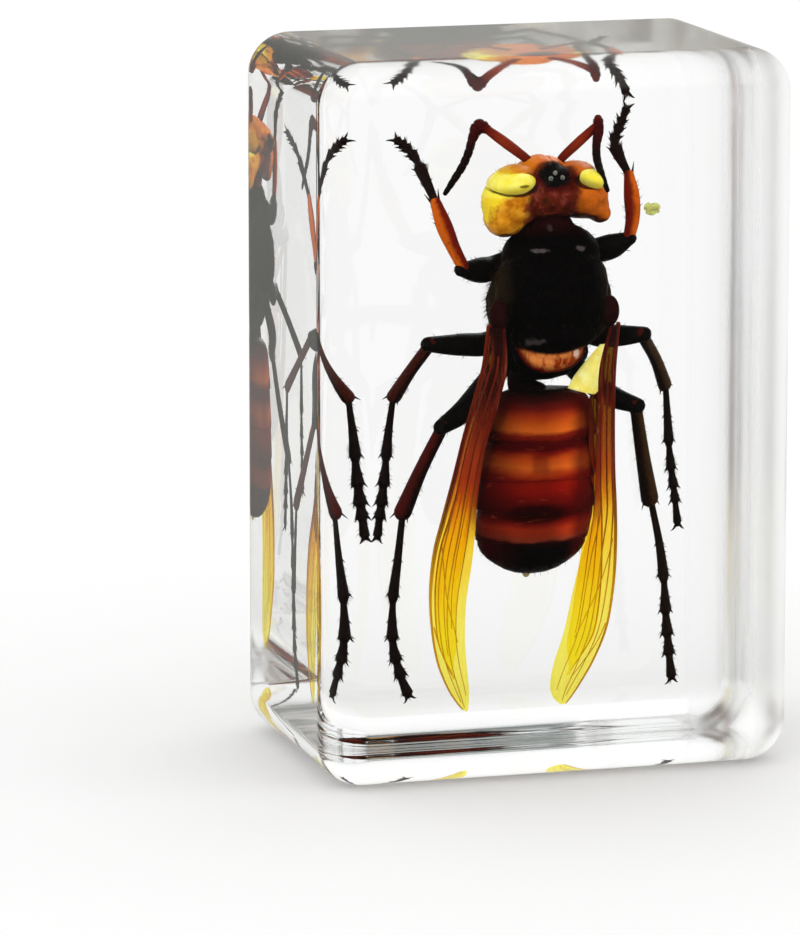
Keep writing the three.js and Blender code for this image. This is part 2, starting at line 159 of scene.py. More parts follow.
# Antennae: x, y, z and radius at points from the face to the knee, and from the knee to the tip.
ANTENNAE = {
    "antenna_left": {
        "scape": [(0.2, 0.7, 35.6, 0.22), (-0.2, 1.0, 36.15, 0.27), (-1.4, 2.1, 37.15, 0.32),
                  (-2.3, 2.8, 37.85, 0.27)],
        "flagellum": [(-2.35, 2.85, 37.95, 0.314), (-2.85, 3.05, 38.05, 0.44), (-3.2, 3.15, 37.35, 0.29),
                      (-3.45, 3.2, 36.5, 0.258), (-3.8, 3.3, 35.7, 0.246), (-4.35, 3.5, 34.8, 0.213),
                      (-4.8, 3.6, 34.1, 0.146)],
    },
    "antenna_right": {
        "scape": [(1.6, 0.7, 35.6, 0.22), (1.9, 1.0, 36.15, 0.26), (3.0, 1.3, 37.05, 0.3),
                  (4.1, 1.6, 37.9, 0.26)],
        "flagellum": [(4.28, 1.6, 38.4, 0.3), (4.25, 1.3, 37.7, 0.314), (4.0, 0.7, 36.9, 0.258),
                      (3.9, 0.0, 36.1, 0.246), (3.98, -1.0, 35.3, 0.202), (4.2, -1.7, 34.4, 0.134)],
    },
}
ANTENNA_SOCKET = (0.32, 0.32, 0.26)
FLAGELLUM_JOINTS = 11
FLAGELLUM_STEPS = 8  # rings of points to a joint

# Wings, folded lengthwise: points of the leading and the trailing edge from the shoulder to the tip.
WINGS = {
    "left": [
        ((-3.2, -2.0, 26.6), (-2.3, -2.65, 26.5)), ((-3.42, -1.55, 24.3), (-2.2, -2.6, 24.1)),
        ((-3.82, -1.0, 22.4), (-2.7, -2.25, 21.8)), ((-4.4, -0.4, 20.0), (-3.3, -1.55, 19.3)),
        ((-4.95, 0.2, 17.4), (-3.6, -0.8, 16.6)), ((-5.55, 0.8, 14.8), (-3.65, -0.1, 14.0)),
        ((-6.0, 1.2, 12.8), (-3.75, 0.5, 11.9)), ((-6.2, 1.45, 10.4), (-4.0, 0.9, 9.6)),
        ((-6.05, 1.65, 8.0), (-4.0, 1.25, 7.4)), ((-5.65, 1.85, 5.9), (-3.8, 1.65, 5.6)),
        ((-4.95, 2.0, 4.2), (-3.62, 1.9, 4.2)), ((-4.35, 2.1, 3.3), (-3.6, 2.05, 3.2)),
        ((-3.95, 2.15, 2.85), (-3.68, 2.15, 2.75)),
    ],
    "right": [
        ((4.85, -2.0, 26.4), (4.2, -2.65, 26.3)), ((4.75, -1.6, 24.1), (3.65, -2.6, 24.0)),
        ((4.8, -1.1, 22.4), (3.6, -2.3, 22.0)), ((4.9, -0.6, 20.2), (3.65, -1.75, 19.7)),
        ((5.1, 0.1, 17.4), (3.75, -1.0, 17.0)), ((5.35, 0.7, 15.0), (3.75, -0.3, 14.5)),
        ((5.5, 1.15, 12.6), (3.2, 0.4, 12.2)), ((5.45, 1.45, 10.2), (2.75, 0.9, 10.0)),
        ((5.1, 1.7, 7.6), (2.25, 1.3, 7.4)), ((4.35, 1.9, 5.6), (1.72, 1.7, 5.5)),
        ((3.5, 2.05, 4.1), (1.5, 1.9, 4.1)), ((2.95, 2.1, 3.3), (1.7, 2.05, 3.3)),
        ((2.55, 2.15, 2.85), (2.15, 2.15, 2.85)),
    ],
}
MEMBRANE_THICKNESS = 0.05
WING_ROWS = 110
WING_COLUMNS = 28
WING_CAMBER = 0.22
FORE_PLEATS = 3
HIND_PLEATS = 2
PLEAT_DEPTH = 0.08
HIND_BEHIND = 0.6  # how far the hind wing lies behind the fore wing
HIND_WIDTH = 0.62  # its width over the fore wing's
HIND_TAPER = 0.14  # the share of the fore wing along which it narrows
HIND_TIP_WIDTH = 0.12  # what is left of its width at the end
# Places of a wing's finishes in its list of materials.
MEMBRANE_FINISH, VEIN_FINISH, ROOT_FINISH = range(3)
# Where its trailing edge lies on the fore wing's chord, at the shoulder and at the tip.
HIND_INWARD = {"left": (0.26, 0.26), "right": (-0.12, 0.36)}
# Where the hind wing starts and stops along the fore wing.
HIND_REACH = {"left": (0.06, 0.82), "right": (0.17, 0.82)}

# Veins: places across the wing (0 at the leading edge, 1 at the trailing one) at even steps between two
# places along it, and their radius at both ends. The first of each wing is its leading edge.
FORE_VEINS = [
    {"along": (0.0, 0.99), "across": [0.03, 0.03, 0.03, 0.03, 0.04, 0.08], "radius": (0.153, 0.038)},
    {"along": (0.02, 0.62), "across": [0.22, 0.2, 0.16, 0.1, 0.05], "radius": (0.075, 0.038)},
    {"along": (0.05, 0.9), "across": [0.45, 0.4, 0.3, 0.26, 0.3, 0.42], "radius": (0.075, 0.022)},
    {"along": (0.06, 0.95), "across": [0.7, 0.68, 0.6, 0.52, 0.5, 0.55], "radius": (0.068, 0.022)},
    {"along": (0.1, 0.86), "across": [0.92, 0.9, 0.84, 0.78, 0.74, 0.8], "radius": (0.053, 0.022)},
    {"along": (0.48, 0.6), "across": [0.22, 0.38, 0.55], "radius": (0.038, 0.03)},
    {"along": (0.66, 0.74), "across": [0.1, 0.2, 0.3], "radius": (0.038, 0.03)},
    {"along": (0.6, 0.68), "across": [0.55, 0.68, 0.78], "radius": (0.034, 0.026)},
    {"along": (0.74, 0.8), "across": [0.32, 0.42, 0.52], "radius": (0.034, 0.022)},
]
HIND_VEINS = [
    {"along": (0.0, 0.98), "across": [0.04, 0.04, 0.04, 0.08], "radius": (0.068, 0.022)},
    {"along": (0.0, 0.9), "across": [0.4, 0.36, 0.4, 0.5], "radius": (0.053, 0.022)},
    {"along": (0.0, 0.8), "across": [0.75, 0.72, 0.78], "radius": (0.045, 0.022)},
]
# The crumpled root of the right hind wing, that shows between the waist and the folded wings.
WING_ROOT = {
    "outer": [(4.1, -1.8, 25.2), (4.15, -1.5, 24.3), (4.1, -1.4, 23.2), (4.1, -1.3, 22.0)],
    "inner": [(3.85, -1.5, 25.15), (3.2, -1.0, 24.3), (2.4, -0.8, 23.3), (2.0, -0.6, 22.5)],
}

# Legs: x, y, z and radius at points along each part, from the body outwards.
LEGS = {
    "front_leg_left": {
        "femur": [(-0.2, 2.4, 30.5, 0.55), (-2.0, 2.2, 29.7, 0.72), (-3.1, 1.6, 29.6, 0.76),
                  (-4.35, 1.0, 29.75, 0.42)],
        "tibia": [(-4.1, 1.0, 29.75, 0.36), (-4.8, 1.0, 31.1, 0.42), (-5.35, 1.05, 32.4, 0.5),
                  (-5.85, 1.2, 33.8, 0.34)],
        "tarsus": [(-5.85, 1.2, 33.8, 0.38), (-6.35, 2.1, 35.2, 0.36), (-6.75, 3.2, 36.35, 0.31),
                   (-7.2, 4.2, 37.0, 0.29), (-7.6, 4.6, 37.3, 0.25)],
    },
    "front_leg_right": {
        "femur": [(2.3, 2.4, 30.5, 0.55), (4.0, 2.2, 30.4, 0.72), (5.2, 1.6, 30.7, 0.76),
                  (6.2, 1.0, 31.2, 0.42)],
        "tibia": [(6.1, 1.0, 31.1, 0.36), (6.35, 1.0, 32.4, 0.45), (6.3, 1.05, 33.7, 0.5),
                  (6.15, 1.2, 35.0, 0.32)],
        "tarsus": [(6.15, 1.2, 35.0, 0.35), (5.6, 1.8, 36.2, 0.38), (5.45, 2.2, 37.0, 0.33),
                   (5.95, 2.8, 37.95, 0.3), (6.4, 3.2, 38.8, 0.25)],
    },
    "mid_leg_left": {
        "femur": [(-0.2, 2.4, 26.6, 0.63), (-2.2, 2.2, 25.2, 0.71), (-4.2, 1.4, 25.2, 0.68),
                  (-6.45, 0.6, 25.4, 0.46)],
        "tibia": [(-6.25, 0.6, 25.45, 0.38), (-7.15, 2.6, 23.6, 0.38), (-7.8, 4.5, 21.9, 0.47)],
        "tarsus": [(-7.85, 4.5, 21.9, 0.3), (-8.2, 4.4, 19.5, 0.29), (-8.42, 4.3, 17.3, 0.33),
                   (-8.7, 4.2, 15.1, 0.35), (-8.9, 4.2, 13.5, 0.25)],
    },
    "mid_leg_right": {
        "femur": [(2.2, 2.4, 26.6, 0.63), (4.2, 2.2, 25.4, 0.71), (5.6, 1.4, 25.3, 0.66),
                  (7.05, 0.6, 25.4, 0.46)],
        "tibia": [(6.85, 0.6, 25.45, 0.38), (8.2, 2.6, 23.6, 0.38), (9.2, 4.5, 21.8, 0.45)],
        "tarsus": [(9.25, 4.5, 21.8, 0.3), (9.38, 4.4, 19.5, 0.28), (9.52, 4.3, 17.3, 0.28),
                   (9.78, 4.2, 15.2, 0.28), (10.0, 4.2, 13.3, 0.23)],
    },
    "hind_leg_left": {
        "femur": [(0.0, 2.6, 25.0, 0.57), (-1.9, 2.9, 23.1, 0.71), (-4.0, 1.3, 21.3, 0.71),
                  (-5.7, 0.3, 20.4, 0.48)],
        "tibia": [(-5.55, 0.3, 20.5, 0.38), (-6.7, 1.4, 17.8, 0.43), (-7.6, 2.7, 15.1, 0.56)],
        "tarsus": [(-7.6, 2.7, 15.1, 0.33), (-7.9, 2.8, 12.2, 0.3), (-8.2, 2.8, 9.7, 0.3),
                   (-8.2, 2.8, 7.1, 0.33), (-7.75, 2.8, 5.2, 0.35), (-7.25, 2.8, 3.9, 0.3)],
    },
    "hind_leg_right": {
        "femur": [(1.7, 2.6, 25.0, 0.57), (3.5, 2.7, 23.0, 0.71), (5.1, 1.3, 21.7, 0.66),
                  (6.6, 0.3, 21.1, 0.48)],
        "tibia": [(6.45, 0.3, 21.2, 0.38), (7.15, 1.4, 18.0, 0.45), (7.9, 2.7, 15.1, 0.56)],
        "tarsus": [(7.95, 2.7, 15.1, 0.33), (8.55, 2.8, 12.3, 0.3), (8.85, 2.8, 10.0, 0.3),
                   (9.0, 2.8, 7.8, 0.33), (9.2, 2.8, 5.6, 0.33), (9.38, 2.8, 4.0, 0.28)],
    },
}
HIP = (0.85, 0.8, 0.85)
BODY_MIDDLE = 0.9  # where the insect's middle lies across the block
LIMB_STEPS = 40
FOOT_STEPS = 159
# Where each of the five joints of a foot starts and stops along it.
TARSUS_JOINTS = [(0.0, 0.4), (0.39, 0.58), (0.57, 0.71), (0.7, 0.82), (0.81, 1.0)]
SPUR_LENGTH = 0.8
SPUR_RADIUS = 0.085
SPINE_LENGTH = 0.42
SPINE_RADIUS = 0.075
SPINE_PLACES = [(0.5, 0.75), (0.92, 1.0)]  # along a joint, and the share of the full length
CLAW_LENGTH = 0.62
CLAW_RADIUS = 0.1
CLAW_BEND = 1.5
CLAW_PAD_RADIUS = 0.13

# Bristles: how many to the square millimetre, their length and radius, how far they lean, and the first seed.
BRISTLES = {
    "head": {"Density": 4.0, "Length": 0.24, "Radius": 0.01, "Lean": 0.7, "Seed": 3},
    "thorax": {"Density": 16.0, "Length": 0.42, "Radius": 0.012, "Lean": 0.6, "Seed": 5},
    "gaster": {"Density": 5.0, "Length": 0.28, "Radius": 0.01, "Lean": 1.2, "Seed": 9},
    "antenna": {"Density": 40.0, "Length": 0.1, "Radius": 0.007, "Lean": 1.0, "Seed": 11},
    "leg": {"Density": 9.0, "Length": 0.3, "Radius": 0.02, "Lean": 0.9, "Seed": 21},
}
BRISTLE_SIDES = 4
BRISTLE_STRAY = 0.35  # how far bristles point off their common lean
BRISTLE_LENGTHS = (0.55, 1.15)  # shortest and longest, over the length above

# Where the insect's own lights stand, seen from the block's middle, and their shares of the light.
INSECT_LIGHTS = {
    "front_lamp": ((-0.6, -1.0, 0.9), 1.0),
    "right_lamp": ((1.0, -0.7, 0.3), 0.45),
    "back_lamp": ((0.5, 1.0, 0.7), 1.0),
    "left_lamp": ((-1.0, 0.5, 0.2), 0.4),
}

FLECK = {"at": (7.35, -0.1, 33.05), "half": (0.42, 0.25, 0.3)}


# ------------------------------------------------------------------ shader trees

def colour(red, green, blue):
    """A linear colour with alpha from a screen colour of 0 to 255."""
    def linear(part):
        share = part / 255
        return share / 12.92 if share <= 0.04045 else ((share + 0.055) / 1.055) ** 2.4
    return linear(red), linear(green), linear(blue), 1.0


def plug(tree, socket, value):
    """Links a socket to a node's output or a Number, or sets its own value."""
    if isinstance(value, Number):
        value = value.socket
    if isinstance(value, bpy.types.NodeSocket):
        tree.links.new(value, socket)
    else:
        socket.default_value = value


def add_node(tree, kind, settings=None, inputs=None):
    """A new node: its settings, then the values or links of its sockets by name, number or identifier."""
    node = tree.nodes.new(kind)
    for name, value in (settings or {}).items():
        setattr(node, name, value)
    by_identifier = {socket.identifier: socket for socket in node.inputs}
    for key, value in (inputs or {}).items():
        plug(tree, by_identifier[key] if key in by_identifier else node.inputs[key], value)
    return node


class Number:
    """A number that a shader works out: arithmetic on it adds Math nodes."""

    def __init__(self, tree, socket):
        self.tree = tree
        self.socket = socket

    def maths(self, operation, first, second):
        node = add_node(self.tree, "ShaderNodeMath", {"operation": operation}, {0: first, 1: second})
        return Number(self.tree, node.outputs[0])

    def __add__(self, other):
        return self.maths("ADD", self, other)

    def __radd__(self, other):
        return self.maths("ADD", other, self)

    def __sub__(self, other):
        return self.maths("SUBTRACT", self, other)

    def __rsub__(self, other):
        return self.maths("SUBTRACT", other, self)

    def __mul__(self, other):
        return self.maths("MULTIPLY", self, other)

    def __rmul__(self, other):
        return self.maths("MULTIPLY", other, self)

    def smaller(self, other):
        return self.maths("MINIMUM", self, other)

    def larger(self, other):
        return self.maths("MAXIMUM", self, other)

    def size(self):
        return self.maths("ABSOLUTE", self, 0.0)

    def rise(self, low, high):
        """0 below low, 1 above high, and smooth between them. It falls where low is above high."""
        node = add_node(
            self.tree, "ShaderNodeMapRange", {"interpolation_type": "SMOOTHSTEP"},
            {"Value": self, "From Min": low, "From Max": high},
        )
        return Number(self.tree, node.outputs[0])

    def band(self, low, high, soft):
        """1 between low and high, with edges of the given softness."""
        return self.rise(low - soft, low + soft) * self.rise(high + soft, high - soft)


class Finish:
    """A material in the making. Places in it are millimetres in the block's frame."""

    def __init__(self, name):
        self.material = bpy.data.materials.new(name)
        self.material.use_nodes = True
        self.tree = self.material.node_tree
        self.tree.nodes.clear()
        place = self.node("ShaderNodeTexCoord").outputs["Object"]
        self.place = self.vector("SCALE", place, scale=1 / MM)
        apart = self.node("ShaderNodeSeparateXYZ", {}, {0: self.place})
        self.x, self.y, self.z = (Number(self.tree, socket) for socket in apart.outputs)

    def node(self, kind, settings=None, inputs=None):
        return add_node(self.tree, kind, settings, inputs)

    def vector(self, operation, *parts, scale=None):
        inputs = dict(enumerate(parts))
        if scale is not None:
            inputs["Scale"] = scale
        return self.node("ShaderNodeVectorMath", {"operation": operation}, inputs).outputs[0]

    def noise(self, scale, detail=3.0, stretch=(1.0, 1.0, 1.0)):
        """Cloudy noise around 0, about -0.5 to 0.5, with `scale` clouds to the millimetre."""
        place = self.vector("MULTIPLY", self.place, stretch)
        node = self.node("ShaderNodeTexNoise", {}, {"Vector": place, "Scale": scale, "Detail": detail})
        return Number(self.tree, node.outputs[0]) - 0.5

    def cells(self, scale):
        """The distance to the nearest of many scattered points, `scale` of them to the millimetre."""
        node = self.node("ShaderNodeTexVoronoi", {}, {"Vector": self.place, "Scale": scale})
        return Number(self.tree, node.outputs["Distance"])

    def mark(self, name):
        """A number that the mesh carries at its points."""
        node = self.node("ShaderNodeAttribute", {"attribute_type": "GEOMETRY", "attribute_name": name})
        return Number(self.tree, node.outputs["Fac"])

    def lump(self, centre, half):
        """How far a place is from the centre of an egg shape: 1 on its surface."""
        apart = self.vector("SUBTRACT", self.place, centre)
        share = self.vector("DIVIDE", apart, half)
        length = self.node("ShaderNodeVectorMath", {"operation": "LENGTH"}, {0: share})
        return Number(self.tree, length.outputs["Value"])

    def mix(self, share, first, second):
        node = self.node(
            "ShaderNodeMix", {"data_type": "RGBA"},
            {"Factor_Float": share, "A_Color": first, "B_Color": second},
        )
        return node.outputs[2]

    def bands(self, level, stops):
        """A colour by a number, through stops of number and colour from the lowest to the highest."""
        low, high = stops[0][0], stops[-1][0]
        node = self.node("ShaderNodeValToRGB", {}, {0: (level - low) * (1 / (high - low))})
        elements = node.color_ramp.elements
        while len(elements) < len(stops):
            elements.new(1.0)
        for element, (place, shade) in zip(elements, stops):
            element.position = (place - low) / (high - low)
            element.color = shade
        return node.outputs["Color"]

    def relief(self, height, depth):
        """A surface direction bent by a height of 0 to 1 that stands for `depth` millimetres."""
        node = self.node("ShaderNodeBump", {}, {"Height": height, "Distance": depth * MM, "Strength": 1.0})
        return node.outputs["Normal"]

    def shell(self, inputs):
        """The plain layered surface with the given sockets."""
        return self.node("ShaderNodeBsdfPrincipled", {}, inputs).outputs[0]

    def done(self, surface, volume=None):
        inputs = {"Surface": surface}
        if volume is not None:
            inputs["Volume"] = volume
        self.node("ShaderNodeOutputMaterial", {}, inputs)
        return self.material


# ------------------------------------------------------------------ shapes

def spline(points, count):
    """`count` rows along a smooth curve through rows of numbers of any width."""
    rows = np.array(points, float)
    before = 2 * rows[0] - rows[1]
    after = 2 * rows[-1] - rows[-2]
    knots = np.vstack([before, rows, after])
    where = np.linspace(0, len(rows) - 1, count)
    start = np.minimum(where.astype(int), len(rows) - 2)
    t = (where - start)[:, None]
    a, b, c, d = (knots[start + shift] for shift in range(4))
    square = 2 * a - 5 * b + 4 * c - d
    cube = 3 * b - a - 3 * c + d
    return 0.5 * (2 * b + (c - a) * t + square * t ** 2 + cube * t ** 3)


def unit(rows):
    """Directions of length 1 from rows of numbers."""
    return rows / np.maximum(np.linalg.norm(rows, axis=-1, keepdims=True), 1e-9)


def axes_along(centres, hint=(0.0, 1.0, 0.0)):
    """Directions along a path, across it, and the third one, turning as little as possible."""
    along = unit(np.gradient(centres, axis=0))
    across = np.zeros_like(along)
    side = np.cross(hint, along[0])
    if np.linalg.norm(side) < 0.1:
        side = np.cross((1.0, 0.0, 0.0), along[0])
    for i, direction in enumerate(along):
        side = side - direction * side.dot(direction)
        side = side / np.linalg.norm(side)
        across[i] = side
    return along, across, np.cross(along, across)


def smooth_noise(points, scale, seed=0.0):
    """Noise of about -0.5 to 0.5 at each point, with `scale` bumps to the millimetre."""
    return np.array([noise.noise(Vector(point) * scale + Vector((seed, seed, seed))) for point in points])


def smooth_step(values, low, high):
    """0 at low, 1 at high, and smooth between them. It falls where low is above high."""
    share = np.clip((values - low) / (high - low), 0, 1)
    return share * share * (3 - 2 * share)


def barrel_faces(count, sides):
    """Faces round a body of `count` rings of `sides` points, with a pole's point before and after them."""
    faces = []
    for ring in range(count - 1):
        for side in range(sides):
            a = 1 + ring * sides + side
            b = 1 + ring * sides + (side + 1) % sides
            faces.append((a, b, b + sides, a + sides))
    last = 1 + count * sides
    for side in range(sides):
        after = (side + 1) % sides
        faces.append((0, 1 + after, 1 + side))
        faces.append((last, last - sides + side, last - sides + after))
    return faces


class Skin:
    """A mesh in the making, in millimetres: closed shapes laid into one another, each with its finish."""

    def __init__(self, marks=()):
        self.points = []
        self.faces = []
        self.finishes = []
        self.marks = {name: [] for name in marks}

    def add(self, points, faces, finish=0, **marks):
        """Lays in a closed shape. Its marks are numbers or directions at each point, or one for them all."""
        start = len(self.points)
        self.points.extend(tuple(point) for point in points)
        self.faces.extend(tuple(start + corner for corner in face) for face in faces)
        self.finishes.extend([finish] * len(faces))
        for name, values in self.marks.items():
            empty = (0.0, 0.0, 0.0) if name == "lie" else 0.0
            value = marks.get(name, empty)
            single = np.ndim(value) == (1 if name == "lie" else 0)
            values.extend([value] * len(points) if single else list(value))

    def loft(self, rings, finish=0, **marks):
        """Lays in a body through rings of equally many points, closed at both ends."""
        rings = np.asarray(rings, float)
        count, sides = rings.shape[:2]
        points = np.vstack([rings[0].mean(0)[None], rings.reshape(-1, 3), rings[-1].mean(0)[None]])
        spread = {}
        for name, value in marks.items():
            value = np.asarray(value, float)
            plain = 1 if name == "lie" else 0
            if value.ndim > plain:
                inner = np.repeat(value, sides, axis=0)
                value = np.concatenate([value[:1], inner, value[-1:]])
            spread[name] = value
        self.add(points, barrel_faces(count, sides), finish, **spread)

    def tube(self, path, sides=12, finish=0, flat=1.0, hint=(0.0, 1.0, 0.0), caps=3, **marks):
        """Lays in a limb through rows of x, y, z and radius, with round ends."""
        path = np.asarray(path, float)
        centres, radii = path[:, :3], path[:, 3]
        along, across, third = axes_along(centres, hint)
        bend = np.linspace(math.pi / 2, 0, caps + 1)[1:-1] if caps > 1 else np.array([])
        front = [(0, -math.sin(a), math.cos(a)) for a in bend]
        back = [(len(path) - 1, math.sin(a), math.cos(a)) for a in bend[::-1]]
        stops = front + [(i, 0.0, 1.0) for i in range(len(path))] + back
        turn = np.linspace(0, 2 * math.pi, sides, endpoint=False)
        rings = []
        for i, push, share in stops:
            centre = centres[i] + along[i] * radii[i] * push
            ring = np.outer(np.cos(turn), across[i]) + np.outer(np.sin(turn), third[i]) * flat
            rings.append(centre + ring * radii[i] * share)
        order = [stop[0] for stop in stops]
        spread = {}
        for name, value in marks.items():
            value = np.asarray(value, float)
            spread[name] = value[order] if value.ndim > (1 if name == "lie" else 0) else value
        if "lie" in self.marks and "lie" not in marks:
            spread["lie"] = along[order]
        self.loft(rings, finish, **spread)

    def egg(self, centre, half, finish=0, sides=32, rings=18, lean=0.0, **marks):
        """Lays in an ellipsoid, leant by an angle in degrees about the depth axis."""
        rise = np.linspace(-math.pi / 2, math.pi / 2, rings + 2)[1:-1]
        turn = np.linspace(0, 2 * math.pi, sides, endpoint=False)
        shape = np.array([[(math.cos(r) * math.cos(t), math.cos(r) * math.sin(t), math.sin(r)) for t in turn]
                          for r in rise])
        tilt = np.array(Matrix.Rotation(math.radians(lean), 3, "Y"))
        points = (shape * half) @ tilt.T + centre
        poles = np.array([(0, 0, -1), (0, 0, 1)]) * half @ tilt.T + centre
        points = np.vstack([poles[:1], points.reshape(-1, 3), poles[1:]])
        self.add(points, barrel_faces(rings, sides), finish, **marks)

    def sheet(self, front, back, finish=0, **marks):
        """Lays in a thin plate between two grids of points, front and back, closed all round."""
        rows, columns = front.shape[:2]
        count = rows * columns
        points = np.vstack([front.reshape(-1, 3), back.reshape(-1, 3)])
        faces = []
        for row in range(rows - 1):
            for column in range(columns - 1):
                a = row * columns + column
                faces.append((a, a + 1, a + columns + 1, a + columns))
                faces.append((count + a, count + a + columns, count + a + columns + 1, count + a + 1))
        rim = list(range(columns))
        rim += [row * columns + columns - 1 for row in range(1, rows)]
        rim += [(rows - 1) * columns + column for column in range(columns - 2, -1, -1)]
        rim += [row * columns for row in range(rows - 2, 0, -1)]
        for here, there in zip(rim, rim[1:] + rim[:1]):
            faces.append((here, count + here, count + there, there))
        self.add(points, faces, finish, **marks)

    def mesh(self, name, scale=MM):
        """The mesh of all that was laid in, in metres unless another scale is given."""
        mesh = bpy.data.meshes.new(name)
        mesh.from_pydata((np.array(self.points) * scale).tolist(), [], self.faces)
        mesh.polygons.foreach_set("material_index", self.finishes)
        mesh.polygons.foreach_set("use_smooth", [True] * len(self.faces))
        for mark, values in self.marks.items():
            if mark == "lie":
                layer = mesh.attributes.new(mark, "FLOAT_VECTOR", "POINT")
                layer.data.foreach_set("vector", np.array(values, float).ravel())
            else:
                layer = mesh.attributes.new(mark, "FLOAT", "POINT")
                layer.data.foreach_set("value", np.array(values, float))
        mesh.update()
        return mesh


def face_outwards(mesh):
    """Turns every closed shape of a mesh the right way out."""
    work = bmesh.new()
    work.from_mesh(mesh)
    bmesh.ops.recalc_face_normals(work, faces=work.faces[:])
    work.to_mesh(mesh)
    work.free()


def add_object(name, mesh, materials):
    """Puts a mesh in the scene, with its materials."""
    thing = bpy.data.objects.new(name, mesh)
    bpy.context.scene.collection.objects.link(thing)
    for material in materials:
        mesh.materials.append(material)
    return thing


def evaluated_mesh(thing):
    """The mesh of an object as its modifiers leave it."""
    graph = bpy.context.evaluated_depsgraph_get()
    return bpy.data.meshes.new_from_object(thing.evaluated_get(graph))


def fused(lumps, voxel, smoothing):
    """Lumps melted into one closed skin, in millimetres: its points, its faces and its outward directions."""
    raw = Skin()
    for centre, half in lumps.values():
        raw.egg(centre, half, sides=LUMP_SIDES, rings=LUMP_SIDES // 2)
    thing = add_object("fusing", raw.mesh("fusing", scale=1.0), [])
    remesh = thing.modifiers.new("remesh", "REMESH")
    remesh.mode = "VOXEL"
    remesh.voxel_size = voxel
    soften = thing.modifiers.new("soften", "SMOOTH")
    soften.iterations = smoothing
    mesh = evaluated_mesh(thing)
    points = np.zeros(len(mesh.vertices) * 3)
    mesh.vertices.foreach_get("co", points)
    normals = np.zeros(len(mesh.vertices) * 3)
    mesh.vertex_normals.foreach_get("vector", normals)
    faces = [tuple(polygon.vertices) for polygon in mesh.polygons]
    bpy.data.objects.remove(thing)
    bpy.data.meshes.remove(mesh)
    return points.reshape(-1, 3), faces, normals.reshape(-1, 3)


def seams(points, lumps, width):
    """1 where two of the lumps come equally near, fading to 0 over `width` of their size."""
    reach = np.array([np.linalg.norm((points - centre) / np.array(half), axis=1) for centre, half in lumps])
    nearest = np.sort(reach, axis=0)
    return np.exp(-((nearest[1] - nearest[0]) / width) ** 2)


# ------------------------------------------------------------------ bristles, by Geometry Nodes

def bristle_tree(name, material):
    """A tree that covers a mesh with small pointed bristles.

    The mesh carries `hairy`, the share of bristles at a place, and `lie`, the direction that they lean in.
    """
    tree = bpy.data.node_groups.new(name, "GeometryNodeTree")
    face = tree.interface
    face.new_socket("Geometry", in_out="OUTPUT", socket_type="NodeSocketGeometry")
    face.new_socket("Geometry", in_out="INPUT", socket_type="NodeSocketGeometry")
    for label in ("Density", "Length", "Radius", "Lean"):
        face.new_socket(label, in_out="INPUT", socket_type="NodeSocketFloat")
    face.new_socket("Seed", in_out="INPUT", socket_type="NodeSocketInt")
    given = add_node(tree, "NodeGroupInput").outputs
    hairy = add_node(tree, "GeometryNodeInputNamedAttribute", {"data_type": "FLOAT"}, {"Name": "hairy"})
    density = add_node(
        tree, "ShaderNodeMath", {"operation": "MULTIPLY"}, {0: given["Density"], 1: hairy.outputs[0]}
    )
    spread = add_node(
        tree, "GeometryNodeDistributePointsOnFaces", {"distribute_method": "RANDOM"},
        {"Mesh": given["Geometry"], "Density": density.outputs[0], "Seed": given["Seed"]},
    )
    lie = add_node(tree, "GeometryNodeInputNamedAttribute", {"data_type": "FLOAT_VECTOR"}, {"Name": "lie"})
    leant = add_node(
        tree, "ShaderNodeVectorMath", {"operation": "SCALE"}, {0: lie.outputs[0], "Scale": given["Lean"]}
    )
    astray = add_node(
        tree, "FunctionNodeRandomValue", {"data_type": "FLOAT_VECTOR"},
        {0: (-BRISTLE_STRAY,) * 3, 1: (BRISTLE_STRAY,) * 3, "Seed": given["Seed"]},
    )
    aim = add_node(
        tree, "ShaderNodeVectorMath", {"operation": "ADD"}, {0: spread.outputs["Normal"], 1: leant.outputs[0]}
    )
    aim = add_node(
        tree, "ShaderNodeVectorMath", {"operation": "ADD"}, {0: aim.outputs[0], 1: astray.outputs[0]}
    )
    turned = add_node(tree, "FunctionNodeAlignRotationToVector", {"axis": "Z"}, {"Vector": aim.outputs[0]})
    bristle = add_node(
        tree, "GeometryNodeMeshCone", {"fill_type": "NONE"},
        {"Vertices": BRISTLE_SIDES, "Radius Top": 0.0, "Radius Bottom": given["Radius"],
         "Depth": given["Length"]},
    )
    stretch = add_node(
        tree, "FunctionNodeRandomValue", {"data_type": "FLOAT"},
        {"Min_001": BRISTLE_LENGTHS[0], "Max_001": BRISTLE_LENGTHS[1], "Seed": given["Seed"]},
    )
    placed = add_node(
        tree, "GeometryNodeInstanceOnPoints", {},
        {"Points": spread.outputs["Points"], "Instance": bristle.outputs["Mesh"],
         "Rotation": turned.outputs[0], "Scale": stretch.outputs[1]},
    )
    real = add_node(tree, "GeometryNodeRealizeInstances", {}, {0: placed.outputs[0]})
    dressed = add_node(
        tree, "GeometryNodeSetMaterial", {}, {"Geometry": real.outputs[0], "Material": material}
    )
    add_node(tree, "NodeGroupOutput", {}, {0: dressed.outputs[0]})
    return tree


def bristle_sizes(part, number=0):
    """The sizes of a part's bristles. Like pieces are numbered, so that their bristles differ."""
    sizes = BRISTLES[part]
    return {**sizes, "Seed": sizes["Seed"] + number}


